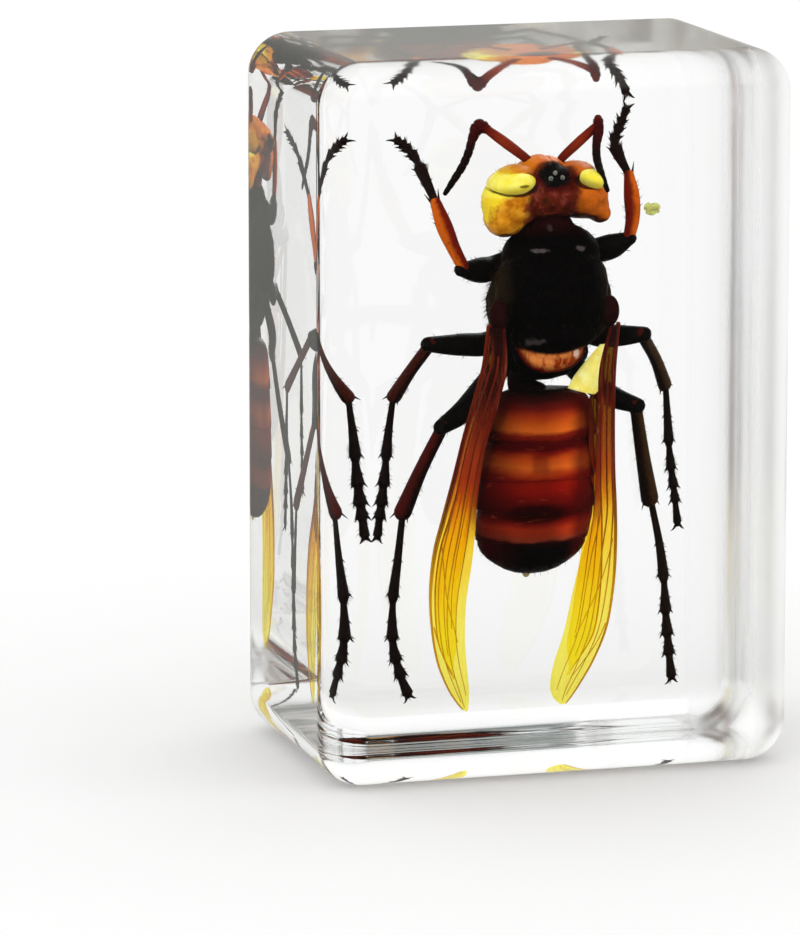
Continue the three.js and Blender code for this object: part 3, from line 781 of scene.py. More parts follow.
def bristles_of(skin, tree, sizes):
    """The mesh, in millimetres, of the bristles that a tree grows on a skin."""
    carrier = add_object("carrier", skin.mesh("carrier", scale=1.0), [])
    grow = carrier.modifiers.new("bristles", "NODES")
    grow.node_group = tree
    sockets = {item.name: item.identifier for item in tree.interface.items_tree if item.in_out == "INPUT"}
    for label, value in sizes.items():
        grow[sockets[label]] = value
    mesh = evaluated_mesh(carrier)
    carrier.modifiers.remove(grow)
    bpy.data.objects.remove(carrier)
    return mesh


def insect_collection():
    """The collection of the insect's pieces, that the lights of its own shine on."""
    if INSECT not in bpy.data.collections:
        bpy.context.scene.collection.children.link(bpy.data.collections.new(INSECT))
    return bpy.data.collections[INSECT]


def dressed_piece(name, skin, materials, node, hair=None):
    """The finished piece of a skin, standing for a node of the frame.

    `hair` holds the tree and the sizes of its bristles, whose finish is the last of the materials.
    """
    mesh = skin.mesh(name)
    face_outwards(mesh)
    if hair is not None:
        bristles = bristles_of(skin, *hair)
        bristles.transform(Matrix.Scale(MM, 4))
        mesh = joined_mesh(name, mesh, bristles, len(materials) - 1)
    piece = add_object(name, mesh, materials)
    insect_collection().objects.link(piece)
    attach(piece, BODY)
    if node is not None:
        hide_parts(node)
    return piece


def joined_mesh(name, main, extra, finish):
    """One mesh of two, the second with the given finish."""
    extra.polygons.foreach_set("material_index", [finish] * len(extra.polygons))
    extra.polygons.foreach_set("use_smooth", [False] * len(extra.polygons))
    work = bmesh.new()
    work.from_mesh(main)
    work.from_mesh(extra)
    mesh = bpy.data.meshes.new(name)
    work.to_mesh(mesh)
    work.free()
    return mesh


# ------------------------------------------------------------------ finishes

BLACK = colour(7, 5, 5)
DARK_BROWN = colour(34, 14, 9)
WHITE = (1.0, 1.0, 1.0, 1.0)
NO_COLOUR = (0.0, 0.0, 0.0, 1.0)


def resin_finish(look):
    """Clear cast resin with faint flow marks.

    The polish is softer on the top, at the foot and on the upright edges at the right.
    """
    finish = Finish("clear_resin")
    drift = finish.noise(0.09, 2.0, (1.0, 1.0, 0.5))
    ripple = finish.noise(0.35, 3.0, (1.0, 0.3, 1.0))
    top = finish.z.rise(41.6, 42.9)
    foot = finish.z.rise(2.5, 1.5)
    right = finish.x.rise(11.3, 12.1) * finish.y.size().rise(7.0, 7.8)
    height = drift * 0.3 + ripple * top * look.top_ripple + 0.5
    dull = (top * 0.6).larger(foot * 0.3).larger(right * 1.6)
    polish = finish.noise(3.0) * 0.01 + 0.006 + dull * look.edge_dullness
    surface = finish.shell({
        "Base Color": WHITE, "Roughness": polish, "IOR": look.bending, "Transmission Weight": 1.0,
        "Normal": finish.relief(height, 0.02),
    })
    volume = finish.node("ShaderNodeVolumeAbsorption", {}, {"Color": look.tint, "Density": look.tint_density})
    return finish.done(surface, volume.outputs[0])


def head_finish():
    """Amber cuticle, maroon in the middle, black at the crown; painted light makes its left yellow and its
    right orange.

    The mark `edge` is 1 where the skin faces down or turns away at the right; it is darkened there as painted
    shade.
    """
    finish = Finish("amber_cuticle")
    x, y, z = finish.x, finish.y, finish.z
    blotch = finish.noise(1.1, 4.0)
    spots = finish.noise(1.5, 2.0)
    grain = finish.noise(5.0, 4.0)
    yellow = colour(252, 216, 44)
    amber = colour(232, 150, 26)
    orange = colour(214, 104, 24)
    maroon = colour(78, 14, 10)
    # Painted light: amber at the lit left side, orange at the right.
    shade = finish.mix((x + blotch * 1.2).rise(0.6, -1.4), orange, amber)
    tan = (spots + blotch * 0.5 + grain * 0.15).rise(-0.08, 0.18) * z.rise(34.5, 33.8)
    shade = finish.mix(tan * 0.75, shade, colour(166, 78, 6))
    light = (grain * 0.15 - spots).rise(0.0, 0.2)
    shade = finish.mix(light * x.rise(2.2, 1.0) * 0.55, shade, colour(250, 184, 64))
    # Painted light: the outer left and its lower lobe made bright yellow, as the lit side.
    outside = (x + grain * 0.8 + blotch * 0.8 - (z - 33.0) * 0.43).rise(-2.45, -3.0)
    shade = finish.mix(outside, shade, yellow)
    lobe = (x + blotch * 0.4 + (z - 34.6) * 0.35).rise(-1.5, -2.1) * z.rise(33.95, 34.3)
    shade = finish.mix(lobe, shade, colour(255, 234, 76))
    middle = (x - 0.95 + blotch * 0.9 + spots * 0.4).size().rise(1.95, 1.3) * z.rise(35.9, 35.2)
    shade = finish.mix(middle * 0.95, shade, maroon)
    pink = (spots + grain * 0.4).rise(0.0, 0.2) * middle
    shade = finish.mix(pink * 0.6, shade, colour(150, 66, 54))
    rust = (blotch * 0.5 - spots).rise(0.0, 0.18) * middle
    shade = finish.mix(rust * 0.6, shade, colour(40, 6, 5))
    ridge = (x - 0.9).size().band(1.2, 3.2, 0.3) * z.rise(35.35, 35.7)
    shade = finish.mix(ridge * 0.5, shade, colour(196, 96, 18))
    crown_place = (1.05, -1.3, 35.4)
    halo = finish.lump(crown_place, (1.5, 1.6, 1.1)) + spots * 0.5
    shade = finish.mix(halo.rise(1.15, 0.8) * 0.9, shade, colour(70, 8, 6))
    crown = finish.lump(crown_place, (0.95, 1.6, 0.8)) + grain * 0.6 + spots * 0.5
    shade = finish.mix(crown.rise(1.15, 0.8), shade, BLACK)
    for centre, half, lean in EYES.values():
        rim = finish.lump((centre[0], centre[1], centre[2] - 0.05), (half[0] * 1.02, half[1], half[2] * 1.04))
        below = (z + (x - centre[0]) * math.tan(math.radians(lean))).rise(centre[2] + 0.1, centre[2] - 0.25)
        line = (rim + grain * 0.1).rise(1.14, 1.06) * below
        shade = finish.mix(line * 0.9, shade, DARK_BROWN)
    hem = (z + (x - 1.9) * 0.27 + grain * 0.15).rise(33.4, 33.12) * x.rise(1.9, 2.3) * y.rise(2.0, 1.0)
    shade = finish.mix(hem * 0.85, shade, colour(58, 16, 8))
    # Painted shade: darker where the mark `edge` says that the skin faces down or turns away.
    hind = (finish.mark("edge") + grain * 0.5).rise(0.35, 0.75)
    shade = finish.mix(hind * 0.85, shade, colour(58, 16, 8))
    teeth = finish.lump((0.9, 4.5, 35.2), (0.75, 0.55, 0.6)).rise(1.15, 0.85)
    shade = finish.mix(teeth, shade, BLACK)
    pits = finish.cells(7.0).rise(0.3, 0.05)
    surface = finish.shell({
        "Base Color": shade, "Roughness": grain * 0.3 + 0.36, "IOR": CUTICLE_BENDING,
        "Normal": finish.relief(0.6 - pits * 0.6 + grain * 0.5, 0.035),
    })
    return finish.done(surface)


def eye_finish():
    """Pale yellow, finely faceted, with a small dark spot, and darker towards the face."""
    finish = Finish("eye_yellow")
    cloud = finish.noise(1.6, 3.0)
    shade = finish.mix((cloud + 0.5).rise(0.3, 0.75), colour(255, 232, 60), colour(255, 246, 120))
    front = finish.y.rise(1.8, 0.8)
    shade = finish.mix(front, colour(190, 130, 16), shade)
    spot = (finish.lump((-1.02, -2.0, 34.86), (0.32, 1.2, 0.1)) + cloud * 0.8).rise(1.2, 0.7)
    shade = finish.mix(spot * 0.8, shade, colour(80, 46, 6))
    facets = finish.cells(16.0)
    surface = finish.shell({
        "Base Color": shade, "Roughness": cloud * 0.1 + 0.2, "IOR": CUTICLE_BENDING,
        "Normal": finish.relief(1.0 - facets, 0.012),
    })
    return finish.done(surface)


def ocellus_finish():
    """The grey glass of the three small eyes."""
    finish = Finish("ocellus_glass")
    shade = finish.mix((finish.noise(6.0) + 0.5).rise(0.2, 0.8), colour(70, 70, 64), colour(150, 152, 142))
    surface = finish.shell({"Base Color": shade, "Roughness": 0.2, "IOR": 1.15})
    return finish.done(surface)


def thorax_finish():
    """Black pitted cuticle with olive sides, dark red wing caps and an orange crescent behind, with painted
    sheens and a painted highlight.
    """
    finish = Finish("black_cuticle")
    x, y, z = finish.x, finish.y, finish.z
    blotch = finish.noise(1.1, 4.0)
    grain = finish.noise(6.0, 4.0)
    side = (x - 1.0 + blotch * 0.6).size().rise(2.5, 3.5)
    shade = finish.mix(side * 0.6, colour(3, 2, 2), colour(40, 30, 12))
    # Painted sheens: greyish highlights mixed into the black at the places listed above.
    for place, size, strength in THORAX_PAINTED_SHEENS:
        painted_sheen = finish.lump(place, size) + finish.noise(2.4, 3.0) * 2.0
        shade = finish.mix(painted_sheen.rise(1.0, 0.3) * strength, shade, colour(120, 106, 106))
    neck = (z + blotch * 0.5).rise(31.6, 32.6)
    shade = finish.mix(neck * 0.7, shade, colour(40, 8, 8))
    caps = (x - 0.98 + grain * 0.1).size().rise(2.95, 3.25) * z.band(25.9, 28.1, 0.2) * y.rise(-0.9, -1.3)
    shade = finish.mix(caps, shade, colour(34, 8, 8))
    ring = finish.lump((0.78, -1.5, 25.3), (2.2, 2.5, 1.75)) + blotch * 0.08
    crescent = ring.rise(1.02, 0.94) * (z + grain * 0.15 - (x - 0.8) * (x - 0.8) * 0.11).rise(24.9, 24.66)
    crescent = crescent * y.rise(-0.9, -1.5)
    streak = finish.noise(2.6, 2.0, (1.0, 1.0, 0.2))
    glow = finish.mix((streak + 0.5).rise(0.38, 0.62), colour(150, 50, 12), colour(226, 132, 66))
    glow = finish.mix(ring.rise(0.8, 0.96), glow, colour(96, 18, 8))
    # A painted highlight: a pale pink glint on the right of the crescent.
    shine = finish.lump((2.25, -2.4, 24.75), (0.3, 1.5, 0.34)) + grain * 1.2
    glow = finish.mix(shine.rise(1.1, 0.4), glow, colour(244, 206, 180))
    shade = finish.mix(crescent, shade, glow)
    pits = finish.cells(6.0).rise(0.35, 0.05)
    surface = finish.shell({
        "Base Color": shade, "Roughness": grain * 0.25 + 0.4, "IOR": BLACK_BENDING,
        "Normal": finish.relief(0.6 - pits * 0.5 + grain * 0.6, 0.05),
    })
    return finish.done(surface)


def gaster_finish():
    """Glossy rings of deep red and orange with dark hind parts, and a black tip; painted shade darkens both
    flanks and painted light brightens the right side.
    """
    finish = Finish("red_cuticle")
    x, y, z = finish.x, finish.y, finish.z
    cloud = finish.noise(0.6, 3.0, (1.0, 1.0, 2.2))
    grain = finish.noise(4.0, 4.0)
    off = x - 0.1
    arch = off * off * 0.03
    shade = finish.bands(z - arch + cloud * 0.5, [
        (13.0, colour(4, 2, 2)), (13.3, colour(20, 3, 2)), (13.5, colour(128, 50, 30)),
        (13.75, colour(150, 46, 18)), (14.15, colour(160, 44, 18)), (14.5, colour(112, 16, 6)),
        (14.8, colour(54, 2, 2)), (15.3, colour(58, 3, 2)), (15.9, colour(88, 8, 5)),
        (16.5, colour(116, 13, 5)), (17.2, colour(120, 18, 6)), (17.55, colour(158, 54, 15)),
        (17.9, colour(186, 82, 24)), (18.4, colour(164, 60, 14)), (18.75, colour(108, 18, 6)),
        (19.0, colour(60, 2, 4)), (19.4, colour(64, 4, 4)), (19.8, colour(112, 22, 8)),
        (20.1, colour(190, 86, 26)), (20.5, colour(178, 74, 16)), (20.95, colour(146, 46, 12)),
        (21.4, colour(92, 16, 8)), (21.9, colour(44, 8, 6)), (22.4, colour(10, 4, 3)),
    ])
    lens = finish.lump((-0.25, -2.3, 15.1), (1.9, 2.0, 0.6)) + cloud * 0.5
    shade = finish.mix(lens.rise(1.25, 0.7) * 0.9, shade, colour(26, 1, 1))
    saddle = (x - 0.1 + cloud).size().rise(2.2, 0.6) * z.band(13.4, 14.7, 0.3)
    shade = finish.mix(saddle * 0.45, shade, colour(70, 12, 6))
    notch = (x + grain * 0.1).size().rise(0.75, 0.25) * z.band(17.6, 18.8, 0.25)
    shade = finish.mix(notch * 0.5, shade, colour(84, 8, 6))
    # Painted shade: darker towards the left flank.
    flank = (off + cloud * 0.8).rise(-0.6, -3.2)
    shade = finish.mix(flank * 0.75, shade, colour(44, 2, 4))
    # Painted light: the right side brightened, up to half as bright again.
    glow = (x + cloud * 1.2).rise(0.2, 1.8)
    shade = finish.vector("SCALE", shade, scale=glow * 0.55 + 1.0)
    # Painted shade: darker again at the far right flank.
    far = (off + cloud * 0.5).rise(1.6, 2.6)
    shade = finish.mix(far * 0.75, shade, colour(70, 8, 6))
    rims = finish.noise(1.2, 3.0, (0.5, 1.0, 3.0)).rise(0.12, 0.3) * z.rise(13.2, 13.6)
    shade = finish.mix(rims * 0.25, shade, colour(190, 84, 40))
    under = y.rise(1.6, 2.6)
    shade = finish.mix(under * 0.5, shade, colour(60, 20, 8))
    surface = finish.shell({
        "Base Color": shade, "Roughness": grain * 0.2 + 0.28, "IOR": BLACK_BENDING,
        "Normal": finish.relief(grain * 0.6 + cloud * 0.4 + 0.5, 0.05),
    })
    return finish.done(surface)


def sting_finish():
    """Straw yellow, on the sting's end."""
    finish = Finish("sting_sheath")
    shade = finish.mix((finish.noise(5.0) + 0.5).rise(0.2, 0.8), colour(170, 140, 70), colour(226, 206, 150))
    return finish.done(finish.shell({"Base Color": shade, "Roughness": 0.4}))


def horn_finish():
    """Red-brown at the root of the antenna and nearly black past its knee, by its mark `reach`."""
    finish = Finish("dark_horn")
    reach = finish.mark("reach")
    grain = finish.noise(6.0, 3.0)
    shade = finish.bands(reach + grain * 0.125, [
        (0.0, colour(64, 14, 8)), (0.3, colour(92, 20, 9)), (0.65, colour(134, 42, 18)),
        (0.9, colour(104, 24, 10)), (1.05, colour(70, 10, 10)), (1.3, colour(56, 10, 10)),
        (1.5, colour(22, 7, 6)), (2.0, colour(10, 6, 5)),
    ])
    surface = finish.shell({
        "Base Color": shade, "Roughness": grain * 0.3 + 0.4, "IOR": CUTICLE_BENDING,
        "Normal": finish.relief(finish.cells(9.0), 0.02),
    })
    return finish.done(surface)


def leg_finish(name, tibia, tibia_edge, foot):
    """A leg's cuticle by its mark `reach`: black to 1, on the thigh, the shin's to 2, and the foot's beyond.

    `rim` says how near the surface is to the dark edge of the shin.
    """
    finish = Finish(name)
    reach = finish.mark("reach")
    rim = finish.mark("rim")
    grain = finish.noise(5.0, 4.0)
    streak = finish.noise(2.2, 3.0)
    shin = finish.mix((rim + streak * 0.5).rise(0.1, 0.75), tibia, tibia_edge)
    shin = finish.mix((reach + streak * 0.1).rise(1.12, 1.02), shin, colour(70, 18, 8))
    shade = finish.mix((reach + grain * 0.05).rise(0.98, 1.04), colour(9, 6, 5), shin)
    shade = finish.mix((reach + grain * 0.12).rise(1.97, 2.03), shade, foot)
    surface = finish.shell({
        "Base Color": shade, "Roughness": grain * 0.3 + 0.38, "IOR": CUTICLE_BENDING,
        "Normal": finish.relief(grain + finish.cells(8.0) * 0.4, 0.04),
    })
    return finish.done(surface)


def wing_finish(look):
    """Amber membrane: a yellow film that lets light through, dark red at the shoulder and the edge, with a
    painted pinkish sheen.

    The mark `across` is 0 at the leading edge and 1 at the trailing one.
    """
    finish = Finish("amber_membrane")
    z = finish.z
    across = finish.mark("across")
    cloud = finish.noise(0.8, 3.0, (1.6, 1.6, 0.35))
    fibre = finish.noise(3.0, 3.0, (1.6, 1.6, 0.12))
    shade = finish.bands(z + cloud * 2.2 + fibre * 0.8, [
        (2.5, colour(250, 230, 90)), (6.0, colour(250, 224, 60)), (11.0, colour(244, 190, 26)),
        (14.2, colour(255, 178, 44)), (15.6, colour(226, 96, 26)), (17.2, colour(190, 64, 24)),
        (19.0, colour(156, 54, 24)), (20.8, colour(112, 30, 14)), (22.5, colour(60, 14, 10)),
        (26.0, colour(34, 8, 8)),
    ])
    width = z.rise(12.0, 18.0) * 0.15
    edge = (across + fibre * 0.04 - width).rise(0.09, 0.02)
    shade = finish.mix(edge * z.rise(7.0, 13.0) * 0.92, shade, colour(42, 6, 6))
    fold = (across + fibre * 0.06).rise(0.8, 0.95)
    shade = finish.mix(fold * z.rise(12.0, 17.0) * 0.6, shade, colour(84, 16, 10))
    streaks = (fibre + 0.5).rise(0.5, 0.7) * z.band(20.5, 25.5, 1.0)
    shade = finish.mix(streaks * 0.45, shade, colour(150, 66, 24))
    # A painted sheen: pinkish highlights between the middle and the shoulder.
    painted_sheen = fibre.rise(0.14, 0.3) * z.band(17.0, 24.0, 1.5)
    shade = finish.mix(painted_sheen * 0.35, shade, colour(196, 120, 116))
    solid = finish.shell({
        "Base Color": shade, "Roughness": fibre * 0.3 + 0.32, "IOR": CUTICLE_BENDING,
        "Normal": finish.relief(fibre + cloud, 0.06),
    })
    lemon = finish.node("ShaderNodeBsdfTransparent", {}, {"Color": look.wing_tip}).outputs[0]
    amber = finish.node("ShaderNodeBsdfTransparent", {}, {"Color": look.wing_middle}).outputs[0]
    deepening = (z + cloud * 5.0 + fibre * 2.0).rise(6.5, 18.5).larger(edge * 0.8)
    film = finish.node("ShaderNodeMixShader", {}, {0: deepening, 1: lemon, 2: amber}).outputs[0]
    cover = (z + cloud * 3.0).rise(13.5, 18.5) * 0.65 + edge * z.rise(6.0, 12.0) * 0.5
    cover = cover + fold * z.rise(13.0, 15.5) * 0.5 + fibre * 0.15 + look.wing_cover
    surface = finish.node("ShaderNodeMixShader", {}, {0: cover.smaller(1.0).larger(0.0), 1: film, 2: solid})
    return finish.done(surface.outputs[0])


def root_finish(look):
    """The pale crumpled root of the right hind wing: a film with a painted glow of its own, for the light
    behind it.
    """
    finish = Finish("pale_membrane")
    cloud = finish.noise(1.4, 4.0)
    shade = finish.mix((cloud + 0.5).rise(0.25, 0.7), colour(255, 236, 90), colour(255, 250, 170))
    shade = finish.mix(finish.noise(3.0).rise(0.16, 0.25) * 0.5, shade, colour(150, 116, 20))
    # Its emission is painted light, a glow that stands in for light coming through the film.
    solid = finish.shell({
        "Base Color": shade, "Roughness": 0.35, "IOR": CUTICLE_BENDING,
        "Emission Color": shade, "Emission Strength": look.root_painted_glow,
        "Normal": finish.relief(cloud + finish.noise(4.0), 0.08),
    })
    film = finish.node("ShaderNodeBsdfTransparent", {}, {"Color": (0.99, 0.95, 0.5, 1.0)}).outputs[0]
    surface = finish.node("ShaderNodeMixShader", {}, {0: cloud * 0.4 + 0.75, 1: film, 2: solid})
    return finish.done(surface.outputs[0])


def vein_finish():
    """Amber at the tip of a wing and brown towards its shoulder."""
    finish = Finish("wing_vein")
    height = (finish.z + finish.noise(1.0) * 2.0).rise(9.0, 18.0)
    shade = finish.mix(height, colour(220, 160, 26), colour(104, 30, 12))
    surface = finish.shell({
        "Base Color": shade, "Roughness": finish.noise(6.0) * 0.2 + 0.4, "IOR": CUTICLE_BENDING,
    })
    return finish.done(surface)


def bristle_finish(name, dark, pale):
    """Fine stiff hair of two colours, in patches."""
    finish = Finish(name)
    shade = finish.mix((finish.noise(3.0) + 0.5).rise(0.3, 0.7), dark, pale)
    return finish.done(finish.shell({
        "Base Color": shade, "Roughness": finish.noise(6.0) * 0.1 + 0.45, "IOR": CUTICLE_BENDING,
    }))


def fleck_finish():
    """A pale greenish crumb, thin in places."""
    finish = Finish("pollen_fleck")
    shade = finish.mix((finish.noise(4.0) + 0.5).rise(0.3, 0.7), colour(196, 200, 60), colour(232, 230, 130))
    surface = finish.shell({
        "Base Color": shade, "Roughness": 0.7, "Alpha": finish.noise(5.0) * 0.3 + 0.75,
        "Normal": finish.relief(finish.noise(8.0), 0.08),
    })
    return finish.done(surface)


# ------------------------------------------------------------------ the pieces

def build_resin(look):
    """The block as one clear body with round edges and corners; its surface directions are exact."""
    low, high = (Vector(corner) for corner in CAD_BOX)
    core = np.array((high - low) / 2) - look.edge_radius
    steps = look.edge_steps
    fillet = np.tan(np.linspace(-math.pi / 4, math.pi / 4, 2 * steps + 1))
    points, normals, faces, found = [], [], [], {}

    def corner_of(direction, side):
        normal = direction / np.linalg.norm(direction)
        point = np.array(BLOCK_MIDDLE) + side * core + normal * look.edge_radius
        key = tuple(np.round(point, 8)) + tuple(np.round(normal, 3))
        if key not in found:
            found[key] = len(points)
            points.append(point)
            normals.append(normal)
        return found[key]

    half = [(value, -1) for value in fillet if value < 1e-9]
    half += [(value, 1) for value in fillet if value > -1e-9]
    for axis in range(3):
        first, second = (axis + 1) % 3, (axis + 2) % 3
        for end in (-1, 1):
            grid = []
            for v, v_side in half:
                row = []
                for u, u_side in half:
                    direction = np.zeros(3)
                    direction[[axis, first, second]] = end, u, v
                    side = np.zeros(3)
                    side[[axis, first, second]] = end, u_side, v_side
                    row.append(corner_of(direction, side))
                grid.append(row)
            for lower, upper in zip(grid, grid[1:]):
                for i in range(len(lower) - 1):
                    face = (lower[i], lower[i + 1], upper[i + 1], upper[i])
                    faces.append(face if end > 0 else face[::-1])
    mesh = bpy.data.meshes.new("resin_block")
    mesh.from_pydata([tuple(point) for point in points], [], faces)
    mesh.polygons.foreach_set("use_smooth", [True] * len(faces))
    mesh.normals_split_custom_set_from_vertices([tuple(normal) for normal in normals])
    piece = add_object("resin_block", mesh, [resin_finish(look)])
    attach(piece, BODY)
    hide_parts("resin_front", "resin_back")


def build_head(look):
    """The head with its eyes, ocelli and jaws."""
    points, faces, normals = fused(HEAD_LUMPS, look.skin_step, HEAD_SOFTENING)
    dents = smooth_noise(points, 1.1) * 0.06 + smooth_noise(points, 3.0, 5.0) * 0.02
    crown = np.exp(-((points[:, 0] - 0.95) / 0.09) ** 2) * smooth_step(points[:, 2], 33.6, 34.2) * 0.05
    pairs = [(HEAD_LUMPS[side + " temple"], HEAD_LUMPS[side + " orbit"]) for side in ("left", "right")]
    hollow = sum(seams(points, pair, 0.14) for pair in pairs) * 0.05
    points = points + normals * (dents - crown - hollow)[:, None]
    skin = Skin(["hairy", "lie", "edge"])
    back = smooth_step(points[:, 1], 4.5, 2.0)
    # `edge` marks where the skin faces down or turns away at the right, where the finish paints shade.
    sideways = normals[:, 0] * 0.6 - normals[:, 2] * 0.8
    edge = np.maximum(smooth_step(-normals[:, 2], 0.74, 0.95),
                      smooth_step(sideways, 0.84, 0.98) * smooth_step(points[:, 0], 2.2, 2.8))
    skin.add(points, faces, hairy=0.5 * back, lie=(0.0, 0.3, 1.0), edge=edge)
    for centre, half, lean in EYES.values():
        skin.egg(centre, half, finish=1, sides=56, rings=34, lean=lean)
    for centre in OCELLI:
        skin.egg(centre, (OCELLUS_RADIUS,) * 3, finish=2, sides=16, rings=9)
    for path in MANDIBLES.values():
        skin.tube(spline(path, 18), sides=18, flat=0.62)
    down = bristle_finish("head_down", DARK_BROWN, colour(150, 96, 30))
    materials = [head_finish(), eye_finish(), ocellus_finish(), down]
    hair = bristle_tree("head_bristles", down), bristle_sizes("head")
    dressed_piece("hornet_head", skin, materials, "head", hair)


def build_thorax(look):
    """The thorax with its seams and wing caps."""
    points, faces, normals = fused(THORAX_LUMPS, look.skin_step * THORAX_COARSENESS, THORAX_SOFTENING)
    upper = ("pronotum", "mesoscutum", "left flank", "right flank", "scutellum", "metanotum")
    lower = ("mesoscutum", "mesosternum", "propodeum")
    seam = seams(points, [THORAX_LUMPS[name] for name in upper], 0.045) * 0.07
    seam = seam + seams(points, [THORAX_LUMPS[name] for name in lower], 0.04) * 0.08
    front = smooth_step(points[:, 1], 0.5, -1.0)
    middle = np.exp(-((points[:, 0] - 1.0) / 0.08) ** 2)
    rows = np.exp(-((np.abs(points[:, 0] - 1.0) - 1.25) / 0.09) ** 2)
    lines = (middle * 0.05 + rows * 0.06) * front * smooth_step(points[:, 2], 27.2, 27.8)
    dents = smooth_noise(points, 0.9) * 0.1 + smooth_noise(points, 2.6, 7.0) * 0.03
    points = points + normals * (dents - seam - lines)[:, None]
    skin = Skin(["hairy", "lie"])
    behind = smooth_step(points[:, 1], 0.0, 1.2)
    left = smooth_step(points[:, 0], -1.6, -2.4) * smooth_step(points[:, 2], 31.0, 29.8)
    skin.add(points, faces, hairy=0.07 + 0.5 * behind + 0.7 * left, lie=(0.0, 0.0, -1.0))
    for centre, half in TEGULAE.values():
        skin.egg(centre, half, sides=24, rings=14)
    down = bristle_finish("thorax_down", colour(12, 8, 6), colour(64, 42, 24))
    hair = bristle_tree("thorax_bristles", down), bristle_sizes("thorax")
    dressed_piece("hornet_thorax", skin, [thorax_finish(), down], "thorax", hair)


def gaster_profile():
    """Height and half-width along the gaster: full rings, each with a lip that stands over the next one."""
    rows = list(GASTER_SHOULDER)
    front, wide = GASTER_SHOULDER[-1]
    for hind, half in GASTER_RINGS:
        for share in np.linspace(0.15, 1.0, 8):
            swell = 0.06 * math.sin(math.pi * share)
            rows.append((front + (hind - front) * share, wide + (half - wide) * share + swell))
        rows.append((hind - 0.05, half - 0.01))
        rows.append((hind - 0.07, half - 0.05))
        rows.append((hind - 0.03, half - GASTER_STEP))
        front, wide = hind - 0.12, half - GASTER_STEP
        rows.append((front, wide))
    return rows + GASTER_CAP


def build_abdomen():
    """The ringed gaster with the sting's end, and the waist before it."""
    front, tip = np.array(GASTER_FRONT), np.array(GASTER_TIP)
    profile = gaster_profile()
    turn = np.linspace(0, 2 * math.pi, GASTER_SIDES, endpoint=False)
    circle = np.stack([np.cos(turn), np.sin(turn), np.zeros(GASTER_SIDES)], axis=1)
    rings = []
    for z, half in profile:
        centre = front + (tip - front) * (front[2] - z) / (front[2] - tip[2])
        rings.append(centre + circle * half * (1.0, GASTER_FLATNESS, 1.0))
    rings = np.array(rings)
    flat = rings.reshape(-1, 3)
    centre_line = front + (tip - front) * ((front[2] - flat[:, 2]) / (front[2] - tip[2]))[:, None]
    outward = unit(flat - centre_line)
    dents = smooth_noise(flat, 0.55) * 0.16 + smooth_noise(flat, 1.7, 3.0) * 0.04
    rings = (flat + outward * dents[:, None]).reshape(rings.shape)
    skin = Skin(["hairy", "lie"])
    levels = np.array([z for z, half in profile])
    skin.loft(rings[::-1], hairy=0.1 + 0.5 * smooth_step(levels[::-1], 13.2, 12.4), lie=(0.0, 0.0, -1.0))
    skin.tube(spline(PETIOLE, 20), sides=28, hairy=0.3)
    skin.egg(STING["at"], STING["half"], finish=1, sides=16, rings=9)
    down = bristle_finish("gaster_down", colour(14, 6, 4), colour(60, 26, 10))
    materials = [gaster_finish(), sting_finish(), down]
    hair = bristle_tree("gaster_bristles", down), bristle_sizes("gaster")
    dressed_piece("hornet_abdomen", skin, materials, "abdomen", hair)


def build_antennae():
    """Both antennae: a socket, a scape and a whip of joints."""
    horn = horn_finish()
    down = bristle_finish("antenna_down", DARK_BROWN, colour(90, 50, 30))
    tree = bristle_tree("antenna_bristles", down)
    for number, (node, shape) in enumerate(ANTENNAE.items()):
        skin = Skin(["hairy", "lie", "reach"])
        scape = spline(shape["scape"], 30)
        skin.tube(scape, sides=16, hairy=0.4, reach=np.linspace(0, 0.95, 30))
        root = np.array(shape["scape"][0])
        skin.egg(root[:3], ANTENNA_SOCKET, sides=16, rings=9, reach=0.4)
        steps = FLAGELLUM_JOINTS * FLAGELLUM_STEPS
        whip = spline(shape["flagellum"], steps)
        beat = np.arange(steps) % FLAGELLUM_STEPS / FLAGELLUM_STEPS
        swell = np.where(beat < 0.1, 0.84, 1.0 + 0.04 * np.sin(math.pi * beat))
        whip[:, 3] = whip[:, 3] * swell
        skin.tube(whip, sides=16, hairy=1.0, reach=np.linspace(1.0, 2.0, steps))
        hair = tree, bristle_sizes("antenna", number)
        dressed_piece("hornet_" + node, skin, [horn, down], node, hair)


def hind_edges(lead, trail, side):
    """The edges of the hind wing that lies behind a fore wing."""
    chord = lead - trail
    down = np.gradient(lead, axis=0)
    normal = unit(np.cross(down, chord))
    normal = normal * np.sign(normal[:, 1:2]) * HIND_BEHIND
    start, stop = (int(share * (len(lead) - 1)) for share in HIND_REACH[side])
    inward = np.linspace(*HIND_INWARD[side], len(lead))[:, None]
    hind_trail = trail + chord * inward + normal
    hind_lead = hind_trail + chord * HIND_WIDTH
    end = HIND_REACH[side][1]
    taper = smooth_step(np.linspace(0, 1, len(lead)), end, end - HIND_TAPER)[:, None]
    width = np.maximum(taper, HIND_TIP_WIDTH)
    middle = (hind_lead + hind_trail) / 2
    hind_lead = middle + (hind_lead - middle) * width
    hind_trail = middle + (hind_trail - middle) * width
    return hind_lead[start:stop], hind_trail[start:stop]


